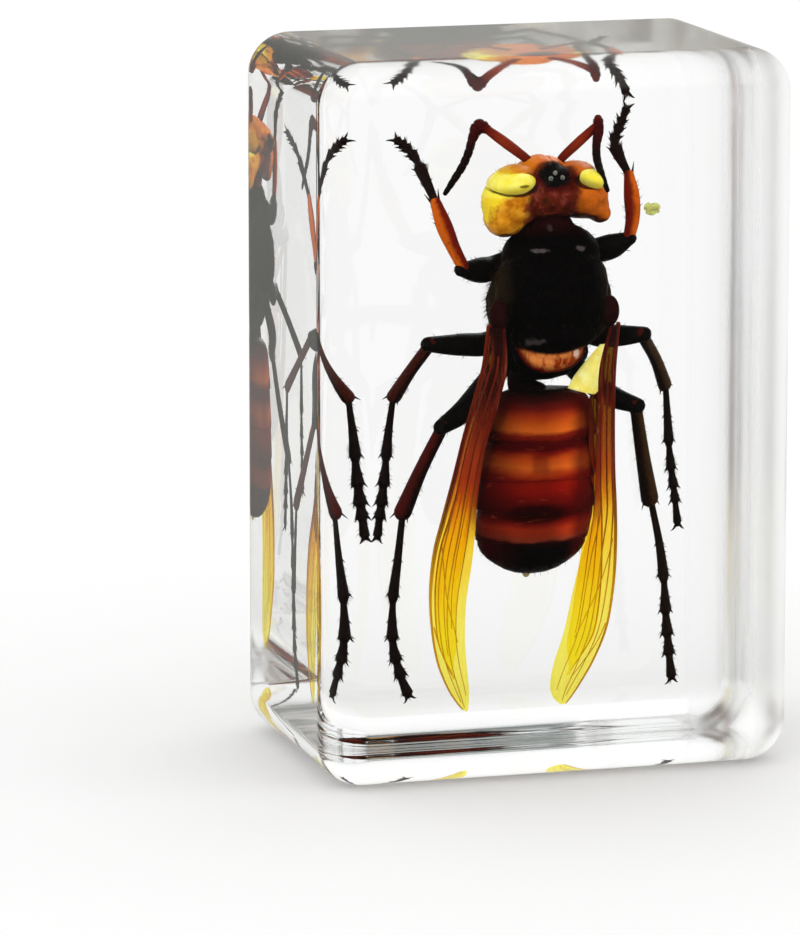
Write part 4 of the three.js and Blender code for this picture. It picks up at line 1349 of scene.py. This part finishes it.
def wing_grid(lead, trail, columns, camber, pleats):
    """Points of a membrane between its two edges, domed and pleated, and the directions through it."""
    share = np.linspace(0, 1, columns)
    grid = lead[:, None] * (1 - share)[None, :, None] + trail[:, None] * share[None, :, None]
    chord = trail - lead
    through = unit(np.cross(np.gradient(lead, axis=0), chord))
    through = through * np.sign(through[:, 1:2])
    width = np.linalg.norm(chord, axis=1)
    dome = -np.outer(width, np.sin(math.pi * share)) * camber
    folds = np.outer(np.minimum(width, 1.6), np.abs((share * pleats) % 1.0 - 0.5)) * PLEAT_DEPTH
    ends = np.sin(math.pi * np.linspace(0.0, 1.0, len(lead)))[:, None] ** 0.3
    lift = dome + folds * ends
    return grid + through[:, None] * lift[:, :, None], np.repeat(through[:, None], columns, axis=1)


def lay_membrane(skin, grid, through, finish, across):
    """A thin film on both sides of a grid of points."""
    half = MEMBRANE_THICKNESS / 2
    skin.sheet(grid + through * half, grid - through * half, finish, across=across)


def lay_wing(skin, lead, trail, veins, camber, pleats):
    """A wing's membrane between its two edges, with its veins."""
    rows, columns = len(lead), WING_COLUMNS
    grid, through = wing_grid(lead, trail, columns, camber, pleats)
    lay_membrane(skin, grid, through, MEMBRANE_FINISH, np.tile(np.linspace(0, 1, columns), 2 * rows))
    for vein in veins:
        count = max(12, int((vein["along"][1] - vein["along"][0]) * 70))
        along = np.linspace(*vein["along"], count) * (rows - 1)
        across = spline([[value] for value in vein["across"]], count)[:, 0] * (columns - 1)
        row = np.minimum(along.astype(int), rows - 2)
        column = np.minimum(across.astype(int), columns - 2)
        u, v = (across - column)[:, None], (along - row)[:, None]
        centre = (grid[row, column] * (1 - u) * (1 - v) + grid[row, column + 1] * u * (1 - v)
                  + grid[row + 1, column] * (1 - u) * v + grid[row + 1, column + 1] * u * v)
        radius = np.linspace(*vein["radius"], count)
        skin.tube(np.column_stack([centre, radius]), sides=8, finish=VEIN_FINISH, caps=2,
                  across=0.0 if vein is veins[0] else 0.5)


def build_wings(look):
    """The four folded wings, each with its veins, and the crumpled root of the right hind wing."""
    materials = [wing_finish(look), vein_finish()]
    root = root_finish(look)
    for side, stations in WINGS.items():
        lead, trail = (spline(edge, WING_ROWS) for edge in zip(*stations))
        skin = Skin(["across"])
        lay_wing(skin, lead, trail, FORE_VEINS, WING_CAMBER, FORE_PLEATS)
        node = "fore_wing_" + side
        dressed_piece("hornet_" + node, skin, materials, node)
        skin = Skin(["across"])
        lead, trail = hind_edges(lead, trail, side)
        lay_wing(skin, lead, trail, HIND_VEINS, WING_CAMBER * 0.5, HIND_PLEATS)
        node = "hind_wing_" + side
        if side == "right":
            outer, inner = (spline(WING_ROOT[edge], 26) for edge in ("outer", "inner"))
            grid, through = wing_grid(outer, inner, 18, 0.1, 4)
            lay_membrane(skin, grid, through, ROOT_FINISH, 0.5)
            dressed_piece("hornet_" + node, skin, materials + [root], node)
        else:
            dressed_piece("hornet_" + node, skin, materials, node)


def lay_claws(skin, path, reach):
    """Two hooked claws and the pad between them at the end of a foot."""
    along, across, _ = axes_along(path[:, :3])
    tip, ahead, side, down = path[-1, :3], along[-1], across[-1], np.array([0.0, 1.0, 0.0])
    for turn in (-1, 1):
        stops = []
        for share in np.linspace(0, 1, 9):
            bend = share * CLAW_BEND
            point = tip + ahead * math.sin(bend) * CLAW_LENGTH * 0.7
            point = point + down * (1 - math.cos(bend)) * CLAW_LENGTH * 0.45
            point = point + side * turn * (0.06 + CLAW_LENGTH * 0.6 * share)
            stops.append((*point, CLAW_RADIUS * (1 - share) + 0.015))
        skin.tube(stops, sides=8, caps=2, reach=reach)
    skin.egg(tip + ahead * 0.1, (CLAW_PAD_RADIUS,) * 3, sides=12, rings=7, reach=reach)


def lay_spines(skin, part, reach):
    """Stout spines at both sides of a joint of the foot, at its end and half-way."""
    along, across, third = axes_along(part[:, :3])
    for place, size in SPINE_PLACES:
        at = int(place * (len(part) - 1))
        for turn in (-1, 1):
            side = unit(across[at] * turn + third[at] * 0.3)
            aim = unit(along[at] + side * 0.75)
            start = part[at, :3] + side * part[at, 3] * 0.7
            stops = [(*(start + aim * SPINE_LENGTH * size * share), SPINE_RADIUS * size * (1 - share) + 0.01)
                     for share in np.linspace(0, 1, 6)]
            skin.tube(stops, sides=7, caps=2, reach=reach)


def lay_leg(skin, shape):
    """A leg: hip, thigh, shin with its spurs, and a foot of five joints with claws."""
    hip = np.array(shape["femur"][0])
    knee = np.array(shape["femur"][-1])
    outwards = unit(knee[:3] - hip[:3])
    skin.egg(hip[:3] - outwards * 0.1, HIP, sides=18, rings=11, reach=0.0, hairy=0.2, lie=outwards)
    thigh, shin = spline(shape["femur"], LIMB_STEPS), spline(shape["tibia"], LIMB_STEPS)
    skin.tube(thigh, sides=18, flat=0.85, reach=np.linspace(0, 0.97, LIMB_STEPS), hairy=0.25)
    centres = shin[:, :3]
    first = len(skin.points)
    skin.tube(shin, sides=20, flat=0.8, reach=np.linspace(1.05, 1.98, LIMB_STEPS), hairy=0.35)
    paint_rim(skin, first, centres)
    end = shin[-1]
    along, across, _ = axes_along(centres)
    for turn in (-1, 1):
        aim = unit(along[-1] + across[-1] * 0.35 * turn + np.array([0, 0.25, 0]))
        start = end[:3] + across[-1] * turn * end[3] * 0.6
        stops = [(*(start + aim * SPUR_LENGTH * share), SPUR_RADIUS * (1 - share) + 0.012)
                 for share in np.linspace(0, 1, 7)]
        skin.tube(stops, sides=8, caps=2, reach=2.1)
    foot = spline(shape["tarsus"], FOOT_STEPS + 1)
    for number, (start, stop) in enumerate(TARSUS_JOINTS):
        part = foot[int(start * FOOT_STEPS):int(stop * FOOT_STEPS) + 1].copy()
        share = np.linspace(0, 1, len(part))
        part[:, 3] *= 0.62 + 0.62 * share ** 1.4
        part[:, 3] *= 1.0 - 0.25 * smooth_step(share, 0.94, 1.0)
        reach = 2.1 + 0.18 * number
        hairy = 0.4 + 2.2 * smooth_step(share, 0.55, 0.95)
        skin.tube(part, sides=14, flat=0.85, caps=2, reach=reach, hairy=hairy)
        if number < len(TARSUS_JOINTS) - 1:
            lay_spines(skin, part, reach)
    lay_claws(skin, foot, 3.0)


def paint_rim(skin, first, centres):
    """Marks the points of a shin by how far they face the body's middle: its dark edge lies there."""
    points = np.array(skin.points[first:])
    nearest = np.argmin(((points[:, None] - centres[None]) ** 2).sum(-1), axis=1)
    away = points - centres[nearest]
    inward = away[:, 0] * -np.sign(centres[-1, 0] - BODY_MIDDLE)
    reach = np.maximum(np.abs(away).max(axis=1), 1e-6)
    skin.marks["rim"][first:] = list(np.clip(0.5 + inward / reach * 0.6, 0, 1))


def build_legs():
    """The six legs, each with its own colours for the shin, the shin's edge and the foot."""
    front = colour(206, 92, 16), colour(110, 22, 8), colour(24, 10, 8)
    shades = {
        "front_leg_left": front,
        "front_leg_right": front,
        "mid_leg_left": (colour(64, 22, 14), colour(26, 8, 6), colour(20, 10, 8)),
        "mid_leg_right": (colour(62, 40, 22), colour(20, 10, 8), colour(22, 13, 10)),
        "hind_leg_left": (colour(66, 16, 12), colour(28, 6, 5), colour(20, 10, 8)),
        "hind_leg_right": (colour(58, 36, 16), colour(22, 10, 6), colour(26, 14, 8)),
    }
    spine = bristle_finish("leg_spines", colour(14, 8, 6), colour(52, 26, 14))
    tree = bristle_tree("leg_bristles", spine)
    for number, (node, shape) in enumerate(LEGS.items()):
        finish = leg_finish(node + "_cuticle", *shades[node])
        skin = Skin(["hairy", "lie", "reach", "rim"])
        lay_leg(skin, shape)
        hair = tree, bristle_sizes("leg", number)
        dressed_piece("hornet_" + node, skin, [finish, spine], node, hair)


def build_fleck():
    """The pale crumb that floats beside the head."""
    skin = Skin()
    skin.egg((0, 0, 0), (1, 1, 1), sides=28, rings=16)
    shape = np.array(skin.points)
    swell = 1 + smooth_noise(shape, 1.3, 2.0) * 0.9
    skin.points = [tuple(point) for point in shape * swell[:, None] * FLECK["half"] + FLECK["at"]]
    dressed_piece("resin_fleck", skin, [fleck_finish()], None)


# ------------------------------------------------------------------ the stage

def hide_from(thing, *rays):
    """Keeps a thing on the stage out of some kinds of light ray."""
    for ray in rays:
        setattr(thing, "visible_" + ray, False)


def glow_finish(finish, shade, strength):
    """A surface that only shines. It is left out when the lights are sampled."""
    material = finish.done(finish.shell({
        "Base Color": NO_COLOUR, "Roughness": 1.0, "Specular IOR Level": 0.0,
        "Emission Color": shade, "Emission Strength": strength,
    }))
    material.cycles.emission_sampling = "NONE"
    return material


def build_floor(look):
    """A round pale floor under the block."""
    finish = Finish("pale_floor")
    cloud = finish.noise(0.004, 2.0)
    shade = finish.mix((cloud + 0.5).rise(0.2, 0.8), (0.93, 0.93, 0.93, 1.0), (0.95, 0.95, 0.95, 1.0))
    material = finish.done(finish.shell({
        "Base Color": shade, "Roughness": 0.7, "Specular IOR Level": 0.2,
    }))
    rim = [(look.floor_radius * math.cos(a), look.floor_radius * math.sin(a), CAD_BOX[0][2])
           for a in np.linspace(0, 2 * math.pi, look.floor_sides, endpoint=False)]
    mesh = bpy.data.meshes.new("floor")
    mesh.from_pydata(rim, [], [tuple(range(look.floor_sides))])
    floor = add_object("floor", mesh, [material])
    hide_from(floor, "glossy")


def build_room(look):
    """Walls round the table that only the polish of the resin mirrors.

    They are dark in front, grey at the left and behind, and white at the right and above.
    """
    finish = Finish("studio_walls")
    x, y, z = (part * (MM / look.room_radius) for part in (finish.x, finish.y, finish.z))
    light = y.rise(-0.6, 0.3) * (look.side_wall - look.front_wall) + look.front_wall
    light = light + x.rise(0.05, 0.2) * y.rise(0.2, 0.6) * (look.back_wall - look.side_wall)
    light = light + x.rise(0.4, 0.6) * (look.right_wall - light)
    light = light + z.rise(0.3, 0.6) * (1.0 - light)
    light = light * (finish.noise(look.wall_grain, 2.0) * 0.5 + 1.0)
    grey = finish.mix(light, NO_COLOUR, (1.0, 1.0, 0.94, 1.0))
    skin = Skin()
    skin.egg((0, 0, 0), (look.room_radius / MM,) * 3, sides=48, rings=24)
    room = add_object("studio_walls", skin.mesh("studio_walls"), [glow_finish(finish, grey, 1.0)])
    hide_from(room, "camera", "diffuse", "transmission", "volume_scatter", "shadow")


def build_ceiling(look):
    """A white ceiling with grey beams over the table's front, that only shows through the resin's foot."""
    finish = Finish("ceiling_beams")
    end = look.beam_end / MM
    left = finish.x.rise(end + 4.0, end - 4.0)
    right = finish.x.band(end + 12.0, end + 26.0, 3.0)
    streak = finish.noise(0.02, 3.0, (0.2, 1.0, 1.0)) + 0.5
    share = (left + right * 0.6) * streak.rise(0.2, 0.6)
    shade = finish.mix(share, WHITE, (0.16, 0.18, 0.17, 1.0))
    width, depth, height = look.ceiling_width, look.ceiling_depth, look.ceiling_height
    rim = [(0.0, -depth, height), (width, -depth, height), (width, 0.0, height), (0.0, 0.0, height)]
    mesh = bpy.data.meshes.new("ceiling")
    mesh.from_pydata(rim, [], [(3, 2, 1, 0)])
    ceiling = add_object("ceiling", mesh, [glow_finish(finish, shade, look.studio_light)])
    hide_from(ceiling, "camera", "diffuse", "glossy", "volume_scatter", "shadow")


def build_sky(look):
    """White light from all round."""
    world = bpy.data.worlds.new("studio")
    bpy.context.scene.world = world
    world.use_nodes = True
    tree = world.node_tree
    tree.nodes.clear()
    light = add_node(tree, "ShaderNodeBackground", {}, {"Color": WHITE, "Strength": look.studio_light})
    add_node(tree, "ShaderNodeOutputWorld", {}, {"Surface": light.outputs[0]})


def build_insect_lights(look):
    """Soft lights that shine on the insect alone, straight through the resin."""
    for name, (place, share) in INSECT_LIGHTS.items():
        data = bpy.data.lights.new(name, "AREA")
        data.shape = "DISK"
        data.size = look.lamp_size
        data.energy = look.insect_light * share
        lamp = bpy.data.objects.new(name, data)
        bpy.context.scene.collection.objects.link(lamp)
        direction = Vector(place).normalized()
        lamp.location = BLOCK_MIDDLE + direction * look.lamp_distance
        lamp.rotation_euler = direction.to_track_quat("Z", "Y").to_euler()
        lamp.light_linking.receiver_collection = insect_collection()
        lamp.light_linking.blocker_collection = insect_collection()


def build_camera(look):
    """A long lens a little above and to the left of the block."""
    level = math.cos(look.rise)
    back = Vector((math.sin(look.turn) * level, -math.cos(look.turn) * level, math.sin(look.rise)))
    right = Vector((math.cos(look.turn), math.sin(look.turn), 0.0))
    up = back.cross(right)
    place = BLOCK_MIDDLE + back * look.distance
    target = BLOCK_MIDDLE - right * look.aim_left - up * look.aim_down
    camera = bpy.data.cameras.new("camera")
    camera.lens = look.lens
    camera.sensor_width = look.sensor_width
    camera.clip_start = 10 * MM
    thing = bpy.data.objects.new("camera", camera)
    bpy.context.scene.collection.objects.link(thing)
    thing.location = place
    thing.rotation_euler = (place - target).to_track_quat("Z", "Y").to_euler()
    bpy.context.scene.camera = thing


def set_light_paths():
    """Enough bounces for a clear block with thin films in it, and plain screen colours."""
    scene = bpy.context.scene
    scene.view_settings.view_transform = "Standard"
    scene.view_settings.look = "None"
    cycles = scene.cycles
    cycles.max_bounces = 24
    cycles.diffuse_bounces = 4
    cycles.glossy_bounces = 12
    cycles.transmission_bounces = 24
    cycles.transparent_max_bounces = 24
    cycles.use_denoising = True
    cycles.caustics_reflective = True
    cycles.caustics_refractive = True


# ------------------------------------------------------------------ the add-on

class ResinSettings(bpy.types.PropertyGroup):
    edge_radius: bpy.props.FloatProperty(
        name="Edge radius", description="Radius of the block's polished edges", default=2.6 * MM,
        min=0.1 * MM, unit="LENGTH",
    )
    edge_steps: bpy.props.IntProperty(
        name="Edge steps", description="Faces across half of a round edge", default=10, min=2, max=24,
    )
    bending: bpy.props.FloatProperty(
        name="Bending", description="How much the resin bends light", default=1.5, min=1.0,
    )
    tint: bpy.props.FloatVectorProperty(
        name="Tint", description="Colour of the light that thick resin lets through", subtype="COLOR", size=4,
        default=(0.72, 0.76, 0.74, 1.0), min=0.0, max=1.0,
    )
    tint_density: bpy.props.FloatProperty(
        name="Tint density", description="How soon the tint builds up, to the metre", default=6.0, min=0.0,
    )
    top_ripple: bpy.props.FloatProperty(
        name="Top ripple", description="Strength of the flow marks on the top face", default=1.2, min=0.0,
    )
    edge_dullness: bpy.props.FloatProperty(
        name="Edge dullness", description="Roughness where the polish is softest", default=0.2,
        min=0.0, max=1.0,
    )


class InsectSettings(bpy.types.PropertyGroup):
    skin_step: bpy.props.FloatProperty(
        name="Skin step", description="Size of the facets of the head and thorax, in millimetres",
        default=0.09, min=0.04, max=0.4,
    )
    wing_tip: bpy.props.FloatVectorProperty(
        name="Wing tip", description="Colour that one side of a wing lets through at its tip",
        subtype="COLOR", size=4, default=(0.998, 0.945, 0.36, 1.0), min=0.0, max=1.0,
    )
    wing_middle: bpy.props.FloatVectorProperty(
        name="Wing middle", description="Colour that one side of a wing lets through at its middle",
        subtype="COLOR", size=4, default=(0.985, 0.74, 0.1, 1.0), min=0.0, max=1.0,
    )
    wing_cover: bpy.props.FloatProperty(
        name="Wing cover", description="Share of a wing's tip that lets no light through", default=0.06,
        subtype="FACTOR", min=0.0, max=1.0,
    )
    # The root's painted glow: emission that stands in for light coming through it.
    root_painted_glow: bpy.props.FloatProperty(
        name="Root glow", description="Light that comes through the crumpled root of the wing", default=0.3,
        min=0.0, max=2.0,
    )


class StudioSettings(bpy.types.PropertyGroup):
    turn: bpy.props.FloatProperty(
        name="Turn", description="Turn of the camera round the block", default=math.radians(-17.29),
        unit="ROTATION",
    )
    rise: bpy.props.FloatProperty(
        name="Rise", description="Height of the camera as an angle", default=math.radians(10.0),
        unit="ROTATION",
    )
    distance: bpy.props.FloatProperty(
        name="Distance", description="From the camera to the block's middle", default=400 * MM, unit="LENGTH",
    )
    aim_left: bpy.props.FloatProperty(
        name="Aim left", description="How far left of the block's middle the camera looks", default=6.94 * MM,
        unit="LENGTH",
    )
    aim_down: bpy.props.FloatProperty(
        name="Aim down", description="How far below the block's middle the camera looks", default=4.37 * MM,
        unit="LENGTH",
    )
    lens: bpy.props.FloatProperty(
        name="Lens", description="Focal length in millimetres", default=256.3, min=20.0,
    )
    sensor_width: bpy.props.FloatProperty(
        name="Sensor width", description="Width of the camera's sensor in millimetres", default=36.0, min=1.0,
    )
    floor_radius: bpy.props.FloatProperty(
        name="Floor radius", description="Radius of the floor", default=4.0, unit="LENGTH",
    )
    floor_sides: bpy.props.IntProperty(
        name="Floor sides", description="Corners of the floor's rim", default=64, min=8,
    )
    insect_light: bpy.props.FloatProperty(
        name="Insect light", description="Power of the strongest of the insect's own lamps, in watts",
        default=1.05, min=0.0,
    )
    lamp_size: bpy.props.FloatProperty(
        name="Lamp size", description="Width of the insect's own lamps", default=0.16, unit="LENGTH",
    )
    lamp_distance: bpy.props.FloatProperty(
        name="Lamp distance", description="From those lamps to the block's middle", default=0.4,
        unit="LENGTH",
    )
    studio_light: bpy.props.FloatProperty(
        name="Studio light", description="Brightness of the light from all round", default=1.11, min=0.0,
    )
    room_radius: bpy.props.FloatProperty(
        name="Room radius", description="From the block to the studio's walls", default=3.0, unit="LENGTH",
    )
    front_wall: bpy.props.FloatProperty(
        name="Front wall", description="Brightness of the wall behind the camera", default=0.06, min=0.0,
    )
    side_wall: bpy.props.FloatProperty(
        name="Side wall", description="Brightness of the left wall", default=0.5, min=0.0,
    )
    right_wall: bpy.props.FloatProperty(
        name="Right wall", description="Brightness of the wall at the right", default=1.0, min=0.0, max=2.0,
    )
    back_wall: bpy.props.FloatProperty(
        name="Back wall", description="Brightness of the wall behind the block", default=0.6, min=0.0,
    )
    beam_end: bpy.props.FloatProperty(
        name="Beam end", description="How far right the ceiling's beams reach", default=0.345, unit="LENGTH",
    )
    ceiling_width: bpy.props.FloatProperty(
        name="Ceiling width", description="How far the ceiling reaches to the right", default=0.6,
        unit="LENGTH",
    )
    ceiling_depth: bpy.props.FloatProperty(
        name="Ceiling depth", description="How far the ceiling reaches to the front", default=1.5,
        unit="LENGTH",
    )
    ceiling_height: bpy.props.FloatProperty(
        name="Ceiling height", description="Height of the ceiling over the floor", default=1.0, unit="LENGTH",
    )
    wall_grain: bpy.props.FloatProperty(
        name="Wall grain", description="Fineness of the patches on the walls, to the millimetre",
        default=0.02,
    )


class HORNET_OT_resin(bpy.types.Operator):
    """Cast the block of clear resin"""
    bl_idname = "hornet.resin"
    bl_label = "Resin block"

    def execute(self, context):
        build_resin(context.scene.hornet_resin)
        return {"FINISHED"}


class HORNET_OT_head(bpy.types.Operator):
    """Model the head with its eyes and jaws"""
    bl_idname = "hornet.head"
    bl_label = "Head"

    def execute(self, context):
        build_head(context.scene.hornet_insect)
        return {"FINISHED"}


class HORNET_OT_thorax(bpy.types.Operator):
    """Model the downy thorax"""
    bl_idname = "hornet.thorax"
    bl_label = "Thorax"

    def execute(self, context):
        build_thorax(context.scene.hornet_insect)
        return {"FINISHED"}


class HORNET_OT_abdomen(bpy.types.Operator):
    """Model the ringed abdomen and the waist"""
    bl_idname = "hornet.abdomen"
    bl_label = "Abdomen"

    def execute(self, context):
        build_abdomen()
        return {"FINISHED"}


class HORNET_OT_antennae(bpy.types.Operator):
    """Model both antennae"""
    bl_idname = "hornet.antennae"
    bl_label = "Antennae"

    def execute(self, context):
        build_antennae()
        return {"FINISHED"}


class HORNET_OT_wings(bpy.types.Operator):
    """Model the four folded wings"""
    bl_idname = "hornet.wings"
    bl_label = "Wings"

    def execute(self, context):
        build_wings(context.scene.hornet_insect)
        return {"FINISHED"}


class HORNET_OT_legs(bpy.types.Operator):
    """Model the six legs"""
    bl_idname = "hornet.legs"
    bl_label = "Legs"

    def execute(self, context):
        build_legs()
        return {"FINISHED"}


class HORNET_OT_fleck(bpy.types.Operator):
    """Model the fleck that floats in the resin"""
    bl_idname = "hornet.fleck"
    bl_label = "Fleck"

    def execute(self, context):
        build_fleck()
        return {"FINISHED"}


class HORNET_OT_stage(bpy.types.Operator):
    """Set the floor, the studio light and the camera"""
    bl_idname = "hornet.stage"
    bl_label = "Stage"

    def execute(self, context):
        look = context.scene.hornet_studio
        build_floor(look)
        build_sky(look)
        build_room(look)
        build_ceiling(look)
        build_insect_lights(look)
        build_camera(look)
        set_light_paths()
        return {"FINISHED"}


OPERATORS = (
    HORNET_OT_stage, HORNET_OT_resin, HORNET_OT_head, HORNET_OT_thorax, HORNET_OT_abdomen, HORNET_OT_antennae,
    HORNET_OT_wings, HORNET_OT_legs, HORNET_OT_fleck,
)


class HORNET_PT_panel(bpy.types.Panel):
    """Builds the hornet piece by piece"""
    bl_idname = "HORNET_PT_panel"
    bl_label = "Hornet in resin"
    bl_space_type = "VIEW_3D"
    bl_region_type = "UI"
    bl_category = "Hornet"

    def draw(self, context):
        column = self.layout.column()
        for operator in OPERATORS:
            column.operator(operator.bl_idname)
        for group in (context.scene.hornet_resin, context.scene.hornet_insect, context.scene.hornet_studio):
            for name in group.__annotations__:
                column.prop(group, name)


GROUPS = {"hornet_resin": ResinSettings, "hornet_insect": InsectSettings, "hornet_studio": StudioSettings}


def register():
    for group in GROUPS.values():
        bpy.utils.register_class(group)
    for operator in OPERATORS:
        bpy.utils.register_class(operator)
    bpy.utils.register_class(HORNET_PT_panel)
    for name, group in GROUPS.items():
        setattr(bpy.types.Scene, name, bpy.props.PointerProperty(type=group))


def unregister():
    for name in GROUPS:
        delattr(bpy.types.Scene, name)
    bpy.utils.unregister_class(HORNET_PT_panel)
    for operator in reversed(OPERATORS):
        bpy.utils.unregister_class(operator)
    for group in reversed(GROUPS.values()):
        bpy.utils.unregister_class(group)


def main():
    register()
    bpy.ops.hornet.stage()
    bpy.ops.hornet.resin()
    bpy.ops.hornet.head()
    bpy.ops.hornet.thorax()
    bpy.ops.hornet.abdomen()
    bpy.ops.hornet.antennae()
    bpy.ops.hornet.wings()
    bpy.ops.hornet.legs()
    bpy.ops.hornet.fleck()
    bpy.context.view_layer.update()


if __name__ == "__main__":
    main()
